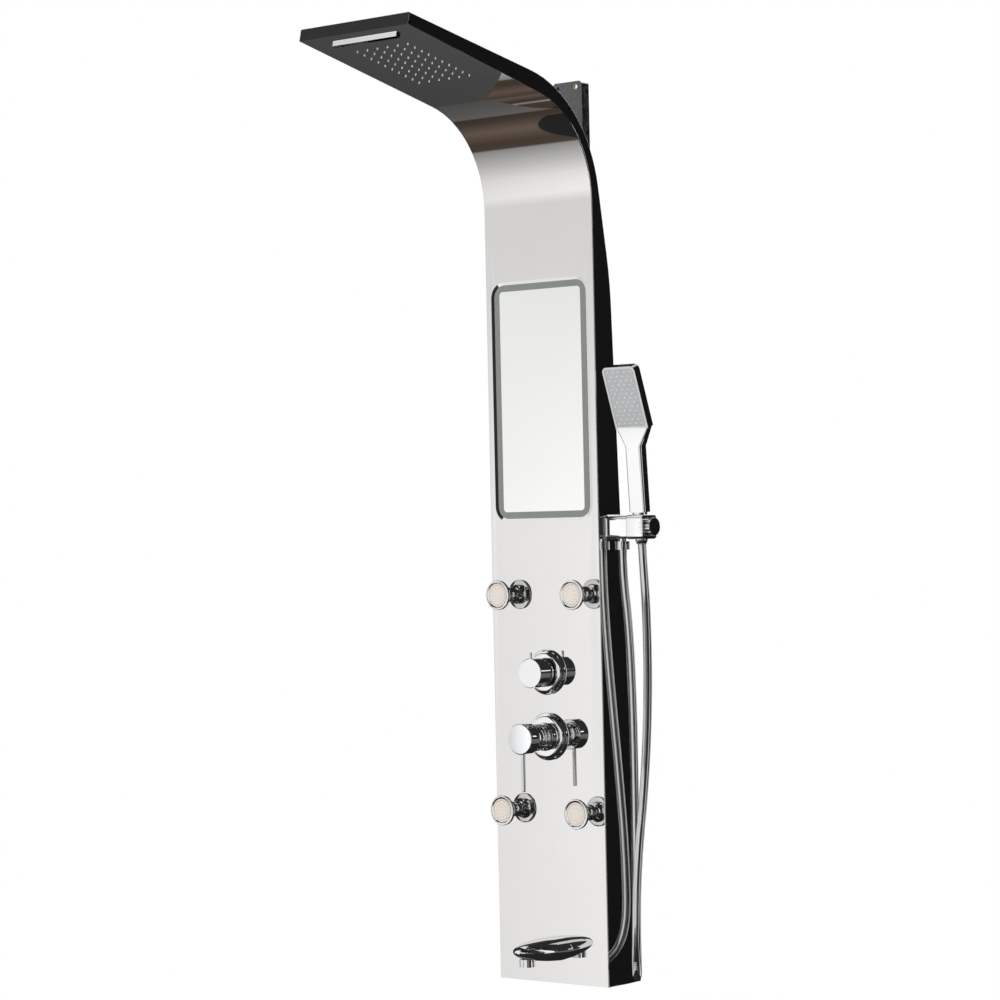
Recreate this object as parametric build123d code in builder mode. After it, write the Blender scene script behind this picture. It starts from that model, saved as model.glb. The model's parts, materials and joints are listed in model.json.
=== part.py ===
from build123d import *
import os
from math import cos, radians, sin, sqrt, tan

# Rainfall shower column: a folded stainless steel panel whose top bends forward into a rain head,
# with a mirror, four body jets, a diverter, a single lever mixer, a bath spout and a hand shower.
# Millimetres, +Z up, the column faces -Y and the wall lies at +Y. The origin is midway between the
# two wall screws of the upper bracket, on the front of its web.
# "depth" is measured back from the panel's front face, "out" forward from it, "height" from its
# lower edge, "along" from the bend's corner towards the tip of the head.

# Column sheet metal
column_width = 220.0
sheet = 1.2
bend_corner_height = 1361.0
bend_radius = 160.0
head_rise = 13.2
head_length = 437.6
tip_height = 18.6
foot_depth = 84.0
waist_depth = 43.5
waist_height = 1109.0
waist_radius = 600.0
shoulder_depth = -5.2
shoulder_height = 1394.5
shoulder_radius = 205.0
back_lip = 12.0
cover_sheet = 1.0
cover_foot_height = 1190.0

# Wall brackets and the bridges that carry the panel on them
bracket_web_depth = 83.0
bracket_width = 60.0
bracket_reach = 18.5
bracket_sheet = 2.0
bracket_corner = 5.0
bracket_top_margin = 9.2
bracket_foot_height = 1100.0
wall_screw_height = 1428.5
wall_screw_spacing = 37.2
wall_screw_radius = 3.0
eyelet_radius = 4.3
eyelet_thickness = 0.8
lower_bracket_height = 60.0
lower_bracket_length = 110.0
lower_screw_height = 150.0
bridge_sheet = 2.0
bridge_height = 50.0
upper_bridge_height = 1115.0
upper_foot_start = 6.0
lower_foot_start = 38.0
bridge_foot = 12.0
bridge_web_width = 68.0
bridge_screw_spacing = 30.0
bridge_screw_radius = 2.5
bridge_screw_head_radius = 4.6
bridge_screw_head = 2.8

# Mirror
mirror_width = 188.0
mirror_length = 378.0
mirror_centre_height = 924.0
mirror_corner = 16.0
mirror_band = 13.0
mirror_pad_thickness = 1.0
mirror_frame_thickness = 3.4
mirror_glass_thickness = 2.8

# Body jets
jet_spacing = 150.0
jet_upper_height = 615.0
jet_lower_height = 272.0
jet_out = 30.0
jet_disc_radius = 23.7
jet_disc_thickness = 4.5
jet_face_radius = 18.4
jet_face_depth = 2.6
jet_face_proud = 0.4
jet_neck_radius = 6.5
jet_ball_radius = 9.0
jet_ball_out = 4.5
jet_socket_radius = 12.5
jet_socket_out = 8.5
jet_water_radius = 3.5
jet_washer_thickness = 1.0
jet_tail_length = 20.0
locknut_thickness = 7.0
locknut_wall = 4.0
elbow_radius = 11.8
elbow_length = 16.0
elbow_stub_length = 18.0

# Threads, pipes and clearances
thread_radius = 10.4
thread_bore = 7.0
pipe_radius = 5.0
pipe_bore = 3.8
stub_radius = 6.5
running_gap = 0.3
fit_gap = 0.1
head_pipe_above = 8.5

# Diverter
diverter_height = 492.0
diverter_knob_radius = 23.3
diverter_knob_start = 12.0
diverter_knob_out = 44.0
diverter_plate_radius = 36.0
diverter_plate_out = 10.0
diverter_neck_radius = 14.0
diverter_neck_out = 9.0
diverter_body_radius = 22.0
diverter_body_length = 40.0
diverter_stub_reach = 26.0
diverter_top_spacing = 24.0
diverter_spindle_radius = 5.0
diverter_spindle_back = 16.0
diverter_nut_thickness = 6.0
pointer_radius = 2.0
pointer_out = 40.5
pointer_reach = 32.5

# Mixer
mixer_height = 390.0
mixer_cap_radius = 24.3
mixer_cap_start = 51.0
mixer_cap_out = 73.0
mixer_cap_crown = 2.5
mixer_pivot_out = 38.0
mixer_dome_radius = 19.0
mixer_lever_radius = 3.25
mixer_lever_out = 64.5
mixer_lever_reach = 83.0
mixer_barrel_radius = 20.0
mixer_barrel_out = 40.0
mixer_ring_step = 1.0
mixer_plate_radius = 38.0
mixer_plate_out = 10.0
mixer_neck_radius = 20.0
mixer_neck_out = 6.0
mixer_cartridge_radius = 14.0
mixer_stem_radius = 6.0
mixer_body_radius = 17.0
mixer_body_half = 50.0
mixer_body_depth = 34.0
mixer_shoulder = 4.0
mixer_nut_thickness = 5.0
inlet_spacing = 75.0
inlet_length = 26.0
mixer_riser_depth = 20.0

# Bath spout
spout_height = 54.0
spout_half_width = 40.0
spout_half_thickness = 19.0
spout_nose_thickness = 8.5
spout_length = 88.0
spout_rise = 3.0
aerator_radius = 11.5
aerator_out = 65.0
aerator_drop = 21.0
aerator_height = 12.0
spout_shank_grip = 12.0
spout_shank_back = 26.0

# Rain head
nozzle_columns = 6
nozzle_rows = 10
nozzle_pitch_across = 20.3
nozzle_pitch_along = 16.0
nozzle_field_along = 297.8
nozzle_radius = 1.7
nozzle_reach = 2.2
nozzle_mat_margin = 8.0
nozzle_mat_thickness = 1.5
chamber_margin = 1.2
chamber_height = 11.0
chamber_wall = 1.0
fall_width = 128.0
fall_thickness = 8.8
fall_drop = 8.0
fall_along = 407.0
fall_wall = 0.8
fall_box_margin = 9.0

# Hand shower holder on the right side
arm_height = 719.0
arm_depth = 34.0
arm_radius = 18.0
arm_flange_radius = 20.0
arm_flange_thickness = 3.0
arm_length = 42.0
arm_tail_length = 24.0
arm_bore_radius = 6.0
arm_bore_end = 26.0
pivot_radius = 8.0
pivot_length = 10.0
outlet_from_wall = 20.0
outlet_radius = 6.35
outlet_bore = 4.0
outlet_nut_radius = 11.5
outlet_nut_height = 13.0
outlet_nut_flutes = 12
outlet_nut_drop = 22.0
cradle_radius = 19.0
cradle_length = 31.6
cradle_slot = 15.6
cone_top_radius = 12.0
cone_bottom_radius = 10.0
cone_half_length = 22.0
cone_foot = 4.0
cone_foot_radius = 9.0
holder_hole_from_wall = 57.0
clamp_radius = 15.0
clamp_length = 9.6
clamp_flutes = 12
clamp_flute_radius = 2.2
clamp_screw_radius = 3.5
clamp_screw_length = 4.2

# Hand shower
handle_lean = 4.0
head_lean = 20.0
handle_start = 23.0
handle_width = 31.0
handle_thickness = 18.0
handle_length = 103.0
handle_corner = 4.0
neck_length = 30.0
spray_width = 63.0
spray_length = 101.0
spray_thickness = 14.0
spray_corner = 9.0
face_margin = 3.6
face_thickness = 1.5
face_corner = 6.0
spray_columns = 5
spray_rows = 13
spray_pitch_across = 11.0
spray_pitch_along = 7.0
spray_nozzle_radius = 1.1
spray_nozzle_reach = 0.8

# Shower hose, its two ends apart from the fittings that grip it
hose_radius = 7.0
hose_valley_radius = 6.3
hose_bore = 4.5
hose_ribs = 150
hose_run_share = 0.45

# Hose route: sideways from the column's middle, depth and height, from the outlet nut to the cone
hose_route = [
    (130.0, 34.0, 640.0),
    (133.0, 41.0, 575.0),
    (131.5, 49.0, 470.0),
    (125.5, 58.0, 330.0),
    (119.8, 63.0, 195.0),
    (120.0, 62.0, 70.0),
    (147.2, 25.7, 24.6),
    (185.7, -25.7, 24.6),
    (213.0, -62.0, 70.0),
    (214.0, -57.0, 200.0),
    (214.0, -30.0, 340.0),
    (197.0, 4.0, 470.0),
    (175.0, 33.0, 585.0),
]
hose_last_run = 50.0

# Sizes that follow from the driving ones
half_width = column_width / 2
inner_half = half_width - sheet
rise = radians(head_rise)
jet_side = jet_spacing / 2
arm_end = half_width + arm_length
holder_x = half_width + holder_hole_from_wall
outlet_x = half_width + outlet_from_wall
outlet_nut_bottom = arm_height - outlet_nut_drop - outlet_nut_height
cradle_start = arm_end + running_gap
cradle_end = cradle_start + cradle_length


def at(x, depth, height):
    """Point of the model for a sideways place, a depth behind the front and a height."""
    return (x, depth - bracket_web_depth, height - wall_screw_height)


def front_plane(x, height, out=0.0):
    """Plane on the front: sketch right and up, extrude outwards."""
    return Plane(origin=at(x, -out, height), x_dir=(1, 0, 0), z_dir=(0, -1, 0))


def turned_plane(x, height):
    """Plane for a profile turned about a line out of the front: radius and out."""
    return Plane(origin=at(x, 0, height), x_dir=(1, 0, 0), z_dir=(0, 0, -1))


def out_axis(x, height):
    """Line straight out of the front."""
    return Axis(at(x, 0, height), (0, -1, 0))


def level_plane(x, depth, height):
    """Level plane: sketch right and back, extrude upwards."""
    return Plane(origin=at(x, depth, height), x_dir=(1, 0, 0), z_dir=(0, 0, 1))


def side_plane_at(x, depth, height):
    """Upright plane facing right: sketch back and up, extrude to the right."""
    return Plane(origin=at(x, depth, height), x_dir=(0, 1, 0), z_dir=(1, 0, 0))


def underside(along, above=0.0):
    """Depth and height of a place on, or square above, the head's underside."""
    depth = above * sin(rise) - along * cos(rise)
    return (depth, bend_corner_height + along * sin(rise) + above * cos(rise))


def bend_corner(inset):
    """Corner between the front and the underside, moved into the column by an inset."""
    return (inset, bend_corner_height + inset * (1 - sin(rise)) / cos(rise))


def save(piece, name):
    """Label a finished piece and write it."""
    piece.part.label = name
    export_step(piece.part, f"parts/{name}.step")


def pipe(points, radii, outer=pipe_radius, bore=pipe_bore):
    """Round pipe of straight runs and bends through the points."""
    with BuildPart() as run:
        with BuildLine() as path:
            FilletPolyline(*points, radius=radii)
        with BuildSketch(Plane(origin=path.line @ 0, z_dir=path.line % 0)):
            Circle(outer)
            Circle(bore, mode=Mode.SUBTRACT)
        sweep()
    return run


def hexagon_nut(bore, wall, thickness):
    """Hexagon nut lying on the ground plane, its far side up."""
    with BuildPart() as nut:
        with BuildSketch():
            RegularPolygon(bore + wall, 6, major_radius=False)
            Circle(bore, mode=Mode.SUBTRACT)
        extrude(amount=thickness)
    return nut


os.makedirs("parts", exist_ok=True)
side_plane = side_plane_at(0, 0, 0)
underside_plane = Plane(
    origin=at(0, *bend_corner(0.0)), x_dir=(1, 0, 0), z_dir=(0, -sin(rise), -cos(rise))
)
jet_spots = [(x, h) for h in (jet_upper_height, jet_lower_height) for x in (-jet_side, jet_side)]
jet_planes = [front_plane(x, h) for x, h in jet_spots]

# Side outline of the column, and the region behind its front sheet that is open at the back
with BuildSketch(side_plane) as side_outline:
    with BuildLine():
        FilletPolyline((0, 0), bend_corner(0.0), underside(head_length), radius=[bend_radius])
        Line(underside(head_length), underside(head_length, tip_height))
        FilletPolyline(
            underside(head_length, tip_height),
            (shoulder_depth, shoulder_height),
            (waist_depth, waist_height),
            (foot_depth, 0),
            radius=[shoulder_radius, waist_radius],
        )
        Line((foot_depth, 0), (0, 0))
    make_face()

opening_inset = 8.0
with BuildSketch(side_plane) as back_region:
    with BuildLine():
        FilletPolyline(
            (opening_inset, back_lip),
            bend_corner(opening_inset),
            underside(head_length - back_lip, opening_inset),
            radius=[bend_radius + opening_inset],
        )
        Polyline(
            underside(head_length - back_lip, opening_inset),
            underside(head_length - back_lip, foot_depth),
            (2 * foot_depth, shoulder_height + foot_depth),
            (2 * foot_depth, back_lip),
            (opening_inset, back_lip),
        )
    make_face()

# Front shell: front, bend, underside, tip, sides and foot in one folded sheet with return lips
with BuildPart() as front_shell:
    extrude(side_outline.sketch, amount=half_width, both=True)
    with BuildSketch(side_plane):
        add(side_outline.sketch_local)
        offset(amount=-sheet, mode=Mode.REPLACE)
    extrude(amount=inner_half, both=True, mode=Mode.SUBTRACT)
    extrude(back_region.sketch, amount=half_width - back_lip, both=True, mode=Mode.SUBTRACT)
    with BuildSketch(front_plane(0, 0)):
        with Locations(*jet_spots):
            Circle(thread_radius + fit_gap)
        with Locations((0, diverter_height)):
            Circle(diverter_neck_radius + fit_gap)
        with Locations((0, mixer_height)):
            Circle(mixer_neck_radius + fit_gap)
        with Locations((0, spout_height)):
            Circle(thread_radius + fit_gap)
    extrude(amount=-2 * sheet, mode=Mode.SUBTRACT)
    with BuildSketch(side_plane_at(half_width, arm_depth, arm_height)):
        Circle(thread_radius + fit_gap)
    extrude(amount=-2 * sheet, mode=Mode.SUBTRACT)
    with BuildSketch(underside_plane):
        with Locations((0, nozzle_field_along)):
            with GridLocations(nozzle_pitch_across, nozzle_pitch_along, nozzle_columns, nozzle_rows):
                RegularPolygon(nozzle_radius + fit_gap, 6)
        with Locations((0, fall_along)):
            Rectangle(fall_width + 2 * fit_gap, fall_thickness + 2 * fit_gap)
    extrude(amount=-2 * sheet, mode=Mode.SUBTRACT)
save(front_shell, "front_shell")

# Top cover: closes the head and the bend from above, under the shell's return lips
with BuildPart() as top_cover:
    with BuildSketch(side_plane):
        add(side_outline.sketch_local)
        offset(amount=-sheet, mode=Mode.REPLACE)
        below_cover = offset(side_outline.sketch_local, amount=-sheet - cover_sheet, mode=Mode.PRIVATE)
        add(below_cover, mode=Mode.SUBTRACT)
        add(back_region.sketch_local, mode=Mode.INTERSECT)
        with Locations((0, cover_foot_height)):
            Rectangle(4 * head_length, head_length, align=(Align.CENTER, Align.MIN), mode=Mode.INTERSECT)
    extrude(amount=inner_half - fit_gap, both=True)
save(top_cover, "top_cover")


def wall_channel(bottom, top, screw_line):
    """Folded wall bracket: a web with two screw holes and a flange back to the wall each side."""
    with BuildPart() as channel:
        with BuildSketch(level_plane(0, bracket_web_depth, bottom)):
            Rectangle(bracket_width, bracket_reach, align=(Align.CENTER, Align.MIN))
            with Locations((0, bracket_sheet)):
                Rectangle(
                    bracket_width - 2 * bracket_sheet,
                    bracket_reach,
                    align=(Align.CENTER, Align.MIN),
                    mode=Mode.SUBTRACT,
                )
        extrude(amount=top - bottom)
        outer_corners = channel.edges().filter_by(Axis.Y).group_by(Axis.Z)[-1].sort_by(Axis.X)
        chamfer([outer_corners[0], outer_corners[-1]], length=bracket_corner)
        with BuildSketch(front_plane(0, screw_line, -bracket_web_depth)):
            with GridLocations(wall_screw_spacing, 1, 2, 1):
                Circle(wall_screw_radius)
        extrude(amount=-bracket_sheet, mode=Mode.SUBTRACT)
    return channel


def bridge_screw_spots(bottom):
    """Places of the two screws that join a bridge and its bracket."""
    middle = bottom + bridge_height / 2
    return [(-bridge_screw_spacing / 2, middle), (bridge_screw_spacing / 2, middle)]


def panel_bridge(bottom, foot_start):
    """Folded strap from one side wall round to the bracket's web and on to the other side wall."""
    foot_end = foot_start + bridge_foot
    with BuildPart() as strap:
        with BuildSketch(level_plane(0, 0, bottom)):
            with BuildLine():
                Polyline(
                    (-inner_half, foot_start),
                    (-inner_half, foot_end),
                    (-bridge_web_width / 2, bracket_web_depth),
                    (bridge_web_width / 2, bracket_web_depth),
                    (inner_half, foot_end),
                    (inner_half, foot_start),
                )
                offset(amount=bridge_sheet, side=Side.RIGHT)
            make_face()
        extrude(amount=bridge_height)
        with BuildSketch(front_plane(0, 0, -bracket_web_depth)):
            with Locations(*bridge_screw_spots(bottom)):
                Circle(bridge_screw_radius + fit_gap)
        extrude(amount=2 * bridge_sheet, mode=Mode.SUBTRACT)
    return strap


def drill_for_bridge(channel, bottom):
    """The same bracket with the two holes for its bridge's screws."""
    with BuildPart() as drilled:
        add(channel.part)
        with BuildSketch(front_plane(0, 0, -bracket_web_depth)):
            with Locations(*bridge_screw_spots(bottom)):
                Circle(bridge_screw_radius + fit_gap)
        extrude(amount=-bracket_sheet, mode=Mode.SUBTRACT)
    return drilled


upper_channel = wall_channel(bracket_foot_height, wall_screw_height + bracket_top_margin, wall_screw_height)
wall_bracket = drill_for_bridge(upper_channel, upper_bridge_height)
save(wall_bracket, "wall_bracket")

lower_top = lower_bracket_height + lower_bracket_length
lower_channel = wall_channel(lower_bracket_height, lower_top, lower_screw_height)
lower_bracket = drill_for_bridge(lower_channel, lower_bracket_height)
save(lower_bracket, "lower_bracket")

upper_bridge = panel_bridge(upper_bridge_height, upper_foot_start)
save(upper_bridge, "upper_bridge")
lower_bridge = panel_bridge(lower_bracket_height, lower_foot_start)
save(lower_bridge, "lower_bridge")

# Bridge screws: head in front of the bridge, nut behind the bracket's web
bridge_screw_nut_back = bracket_web_depth + bracket_sheet
with BuildPart() as bridge_screws:
    for bottom in (upper_bridge_height, lower_bracket_height):
        for x, height in bridge_screw_spots(bottom):
            with BuildSketch(front_plane(x, height, bridge_sheet - bracket_web_depth)):
                Circle(bridge_screw_head_radius)
            extrude(amount=bridge_screw_head)
            with BuildSketch(front_plane(x, height, bridge_sheet - bracket_web_depth)):
                Circle(bridge_screw_radius)
            extrude(amount=-bridge_sheet - bracket_sheet)
            with BuildSketch(front_plane(x, height, -bridge_screw_nut_back)):
                RegularPolygon(bridge_screw_head_radius, 6)
            extrude(amount=-bridge_screw_head)
save(bridge_screws, "bridge_screws")

# Brass eyelet round the right wall screw hole
with BuildPart() as screw_eyelet:
    with BuildSketch(front_plane(wall_screw_spacing / 2, wall_screw_height, -bracket_web_depth)):
        Circle(eyelet_radius)
        Circle(wall_screw_radius, mode=Mode.SUBTRACT)
    extrude(amount=eyelet_thickness)
save(screw_eyelet, "screw_eyelet")

# Mirror: foam pad, grey rim and silvered glass
with BuildPart() as mirror_pad:
    with BuildSketch(front_plane(0, mirror_centre_height)):
        RectangleRounded(mirror_width - 2, mirror_length - 2, mirror_corner - 1)
    extrude(amount=mirror_pad_thickness)
save(mirror_pad, "mirror_pad")

glass_width = mirror_width - 2 * mirror_band
glass_length = mirror_length - 2 * mirror_band
glass_corner = mirror_corner - mirror_band / 2
with BuildPart() as mirror_frame:
    with BuildSketch(front_plane(0, mirror_centre_height, mirror_pad_thickness)):
        RectangleRounded(mirror_width, mirror_length, mirror_corner)
        RectangleRounded(glass_width, glass_length, glass_corner, mode=Mode.SUBTRACT)
    extrude(amount=mirror_frame_thickness)
    chamfer(mirror_frame.faces().sort_by(Axis.Y)[0].edges(), length=0.6)
save(mirror_frame, "mirror_frame")

with BuildPart() as mirror_glass:
    with BuildSketch(front_plane(0, mirror_centre_height, mirror_pad_thickness)):
        RectangleRounded(glass_width - 2 * fit_gap, glass_length - 2 * fit_gap, glass_corner)
    extrude(amount=mirror_glass_thickness)
save(mirror_glass, "mirror_glass")

# Jet socket: a flanged cup for the ball, with a threaded tail through the panel
cup_radius = jet_ball_radius + running_gap
with BuildPart() as jet_socket:
    with BuildSketch(Plane.XZ):
        with BuildLine():
            Polyline(
                (0, -jet_tail_length),
                (thread_radius, -jet_tail_length),
                (thread_radius, jet_washer_thickness),
                (jet_socket_radius, jet_washer_thickness),
                (jet_socket_radius, jet_socket_out - 1),
                (jet_socket_radius - 1, jet_socket_out),
                (0, jet_socket_out),
                (0, -jet_tail_length),
            )
        make_face()
    revolve(axis=Axis.Z)
    with Locations((0, 0, jet_ball_out)):
        Sphere(cup_radius, mode=Mode.SUBTRACT)
    with BuildSketch(Plane.XY.offset(-jet_tail_length)):
        Circle(jet_neck_radius - 1)
    extrude(amount=jet_tail_length, mode=Mode.SUBTRACT)

with BuildPart() as jet_sockets:
    with Locations(*jet_planes):
        add(jet_socket.part)
save(jet_sockets, "jet_sockets")

with BuildPart() as jet_washers:
    for x, height in jet_spots:
        with BuildSketch(front_plane(x, height)):
            Circle(jet_socket_radius)
            Circle(thread_radius + fit_gap, mode=Mode.SUBTRACT)
        extrude(amount=jet_washer_thickness)
save(jet_washers, "jet_washers")

# Thread locknuts: one on each tail behind the panel, for the jets, the spout and the outlet arm
nut_inside = sheet + locknut_thickness
thread_nut = hexagon_nut(thread_radius + fit_gap, locknut_wall, locknut_thickness)
with BuildPart() as thread_locknuts:
    with Locations(*[front_plane(x, h, -nut_inside) for x, h in jet_spots + [(0, spout_height)]]):
        add(thread_nut.part)
    with Locations(side_plane_at(half_width - nut_inside, arm_depth, arm_height)):
        add(thread_nut.part)
save(thread_locknuts, "thread_locknuts")


def elbow(x, height, start, towards):
    """Push-on elbow behind a threaded tail, its stub pointing the given way."""
    middle = start + elbow_length / 2
    with BuildPart() as fitting:
        with BuildSketch(front_plane(x, height, -start - elbow_length)):
            Circle(elbow_radius)
        extrude(amount=elbow_length)
        with BuildSketch(Plane(origin=at(x, middle, height), z_dir=towards)):
            Circle(stub_radius)
        extrude(amount=elbow_stub_length)
        with BuildSketch(front_plane(x, height, -middle)):
            Circle(thread_bore)
        extrude(amount=elbow_length / 2, mode=Mode.SUBTRACT)
        with BuildSketch(Plane(origin=at(x, middle, height), z_dir=towards)):
            Circle(pipe_bore)
        extrude(amount=elbow_stub_length, mode=Mode.SUBTRACT)
    return fitting


with BuildPart() as pipe_elbows:
    for x, height in jet_spots:
        towards = (0, 0, -1) if height == jet_upper_height else (0, 0, 1)
        add(elbow(x, height, jet_tail_length, towards).part)
    add(elbow(0, spout_height, spout_shank_back, (1, 0, 0)).part)
save(pipe_elbows, "pipe_elbows")

# Jet pipes: one upright each side between its two elbows, with a branch to the diverter
jet_pipe_depth = jet_tail_length + elbow_length / 2
jet_pipe_bottom = jet_lower_height + elbow_stub_length
jet_pipe_length = jet_upper_height - elbow_stub_length - jet_pipe_bottom
with BuildPart() as jet_pipes:
    for side in (-1, 1):
        with BuildSketch(level_plane(side * jet_side, jet_pipe_depth, jet_pipe_bottom)):
            Circle(pipe_radius)
        extrude(amount=jet_pipe_length)
        with BuildSketch(side_plane_at(side * diverter_stub_reach, jet_pipe_depth, diverter_height)):
            Circle(pipe_radius)
        extrude(amount=side * (jet_side - diverter_stub_reach))
        with BuildSketch(level_plane(side * jet_side, jet_pipe_depth, jet_pipe_bottom)):
            Circle(pipe_bore)
        extrude(amount=jet_pipe_length, mode=Mode.SUBTRACT)
        with BuildSketch(side_plane_at(side * diverter_stub_reach, jet_pipe_depth, diverter_height)):
            Circle(pipe_bore)
        extrude(amount=side * (jet_side - diverter_stub_reach), mode=Mode.SUBTRACT)
save(jet_pipes, "jet_pipes")

# Jet head: ball, neck and a trumpet that opens into the disc
flare_start = jet_ball_out + jet_ball_radius
disc_back = jet_out - jet_disc_thickness
flare_radius = disc_back - flare_start
ball_top = jet_ball_out + sqrt(jet_ball_radius**2 - jet_neck_radius**2)
ball_back = jet_ball_out - sqrt(jet_ball_radius**2 - jet_water_radius**2)
face_seat = jet_out - jet_face_depth
rim_round = 0.8
with BuildPart() as jet_head:
    with BuildSketch(Plane.XZ):
        with BuildLine():
            ThreePointArc(
                (jet_water_radius, ball_back), (jet_ball_radius, jet_ball_out), (jet_neck_radius, ball_top)
            )
            Line((jet_neck_radius, ball_top), (jet_neck_radius, flare_start))
            RadiusArc(
                (jet_neck_radius, flare_start), (jet_neck_radius + flare_radius, disc_back), flare_radius
            )
            Polyline(
                (jet_neck_radius + flare_radius, disc_back),
                (jet_disc_radius - rim_round, disc_back),
                (jet_disc_radius, disc_back + rim_round),
                (jet_disc_radius, jet_out - rim_round),
                (jet_disc_radius - rim_round, jet_out),
                (jet_face_radius, jet_out),
                (jet_face_radius, face_seat),
                (jet_water_radius, face_seat),
                (jet_water_radius, ball_back),
            )
        make_face()
    revolve(axis=Axis.Z)

# Jet face: a soft insert with a ring groove
groove_radius = jet_face_radius - 2.4
groove_width = 0.9
with BuildPart() as jet_face:
    with BuildSketch(Plane.XY.offset(face_seat)):
        Circle(jet_face_radius - fit_gap)
    extrude(amount=jet_face_depth + jet_face_proud)
    with BuildSketch(Plane.XY.offset(jet_out - jet_face_proud)):
        Circle(groove_radius)
        Circle(groove_radius - groove_width, mode=Mode.SUBTRACT)
    extrude(amount=2 * jet_face_proud, mode=Mode.SUBTRACT)

for number, place in enumerate(jet_planes, start=1):
    with BuildPart() as placed_head:
        with Locations(place):
            add(jet_head.part)
    save(placed_head, f"jet_head_{number}")
    with BuildPart() as placed_face:
        with Locations(place):
            add(jet_face.part)
    save(placed_face, f"jet_face_{number}")

# Diverter body: a round valve block behind the panel with its neck through it and pipe stubs
diverter_face = sheet
diverter_back = diverter_face + diverter_body_length
handset_pipe_depth = arm_depth
spout_pipe_depth = spout_shank_back + elbow_length / 2
top_stub_x = diverter_top_spacing / 2
diverter_top_stubs = [
    (-top_stub_x, head_pipe_above),
    (top_stub_x, head_pipe_above),
    (top_stub_x, handset_pipe_depth),
]
diverter_bottom_stubs = [(0.0, mixer_riser_depth), (top_stub_x, spout_pipe_depth)]
with BuildPart() as diverter_body:
    with BuildSketch(front_plane(0, diverter_height, -diverter_back)):
        Circle(diverter_body_radius)
    extrude(amount=diverter_body_length)
    with BuildSketch(front_plane(0, diverter_height, -diverter_face)):
        Circle(diverter_neck_radius)
    extrude(amount=diverter_face + diverter_neck_out)
    for x, depth in diverter_top_stubs:
        with BuildSketch(level_plane(x, depth, diverter_height)):
            Circle(stub_radius)
        extrude(amount=diverter_stub_reach)
    for x, depth in diverter_bottom_stubs:
        with BuildSketch(level_plane(x, depth, diverter_height)):
            Circle(stub_radius)
        extrude(amount=-diverter_stub_reach)
    with BuildSketch(side_plane_at(-diverter_stub_reach, jet_pipe_depth, diverter_height)):
        Circle(stub_radius)
    extrude(amount=2 * diverter_stub_reach)
    with BuildSketch(front_plane(0, diverter_height, diverter_neck_out)):
        Circle(diverter_spindle_radius + running_gap)
    extrude(amount=-diverter_neck_out - diverter_spindle_back - running_gap, mode=Mode.SUBTRACT)
save(diverter_body, "diverter_body")

# Valve locknuts: hold the two valve bodies to the panel from the front
diverter_nut = hexagon_nut(diverter_neck_radius + fit_gap, locknut_wall, diverter_nut_thickness)
mixer_nut = hexagon_nut(mixer_neck_radius + fit_gap, locknut_wall, mixer_nut_thickness)
with BuildPart() as valve_locknuts:
    with Locations(front_plane(0, diverter_height)):
        add(diverter_nut.part)
    with Locations(front_plane(0, mixer_height)):
        add(mixer_nut.part)
save(valve_locknuts, "valve_locknuts")


def cover_plate(height, radius, out, bore, hollow, hollow_out):
    """Round domed plate over a valve's panel hole, hollow behind for the locknut."""
    edge = 0.3 * out
    crown = radius - 0.9 * out
    round_over = ((radius - crown) ** 2 + (out - edge) ** 2) / (2 * (out - edge))
    with BuildPart() as plate:
        with BuildSketch(turned_plane(0, height)):
            with BuildLine():
                Polyline((hollow, 0), (radius, 0), (radius, edge))
                RadiusArc((radius, edge), (crown, out), -round_over)
                Polyline(
                    (crown, out), (bore, out), (bore, hollow_out), (hollow, hollow_out), (hollow, 0)
                )
            make_face()
        revolve(axis=out_axis(0, height))
    return plate


nut_room = 1.4
diverter_hollow = (diverter_neck_radius + locknut_wall) * 2 / sqrt(3) + nut_room
diverter_plate = cover_plate(
    diverter_height,
    diverter_plate_radius,
    diverter_plate_out,
    diverter_neck_radius + running_gap,
    diverter_hollow,
    diverter_nut_thickness + nut_room / 2,
)
save(diverter_plate, "diverter_escutcheon")

# Diverter knob with its spindle and pointer pin
knob_groove = 1.0
spindle_out = diverter_knob_out - 8.0
with BuildPart() as diverter_knob:
    with BuildSketch(turned_plane(0, diverter_height)):
        with BuildLine():
            Polyline(
                (diverter_spindle_radius, diverter_knob_start),
                (diverter_knob_radius, diverter_knob_start),
                (diverter_knob_radius, diverter_knob_start + 2),
                (diverter_knob_radius - knob_groove, diverter_knob_start + 2.5),
                (diverter_knob_radius - knob_groove, diverter_knob_start + 4),
                (diverter_knob_radius, diverter_knob_start + 4.5),
                (diverter_knob_radius, diverter_knob_out - knob_groove),
                (diverter_knob_radius - knob_groove, diverter_knob_out),
                (0, diverter_knob_out),
                (0, spindle_out),
                (diverter_spindle_radius, spindle_out),
                (diverter_spindle_radius, diverter_knob_start),
            )
        make_face()
    revolve(axis=out_axis(0, diverter_height))
    with BuildSketch(level_plane(0, -pointer_out, diverter_height + diverter_knob_radius - 4)):
        Circle(pointer_radius)
    extrude(amount=2 * pointer_radius + 1, mode=Mode.SUBTRACT)
save(diverter_knob, "diverter_knob")

with BuildPart() as diverter_pointer:
    with BuildSketch(level_plane(0, -pointer_out, diverter_height + diverter_knob_radius - 4)):
        Circle(pointer_radius)
    extrude(amount=pointer_reach - diverter_knob_radius + 4)
    fillet(diverter_pointer.edges().group_by(Axis.Z)[-1], radius=pointer_radius / 2)
save(diverter_pointer, "diverter_pointer")

with BuildPart() as diverter_spindle:
    with BuildSketch(front_plane(0, diverter_height, -diverter_spindle_back)):
        Circle(diverter_spindle_radius)
    extrude(amount=diverter_spindle_back + spindle_out)
save(diverter_spindle, "diverter_spindle")

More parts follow.
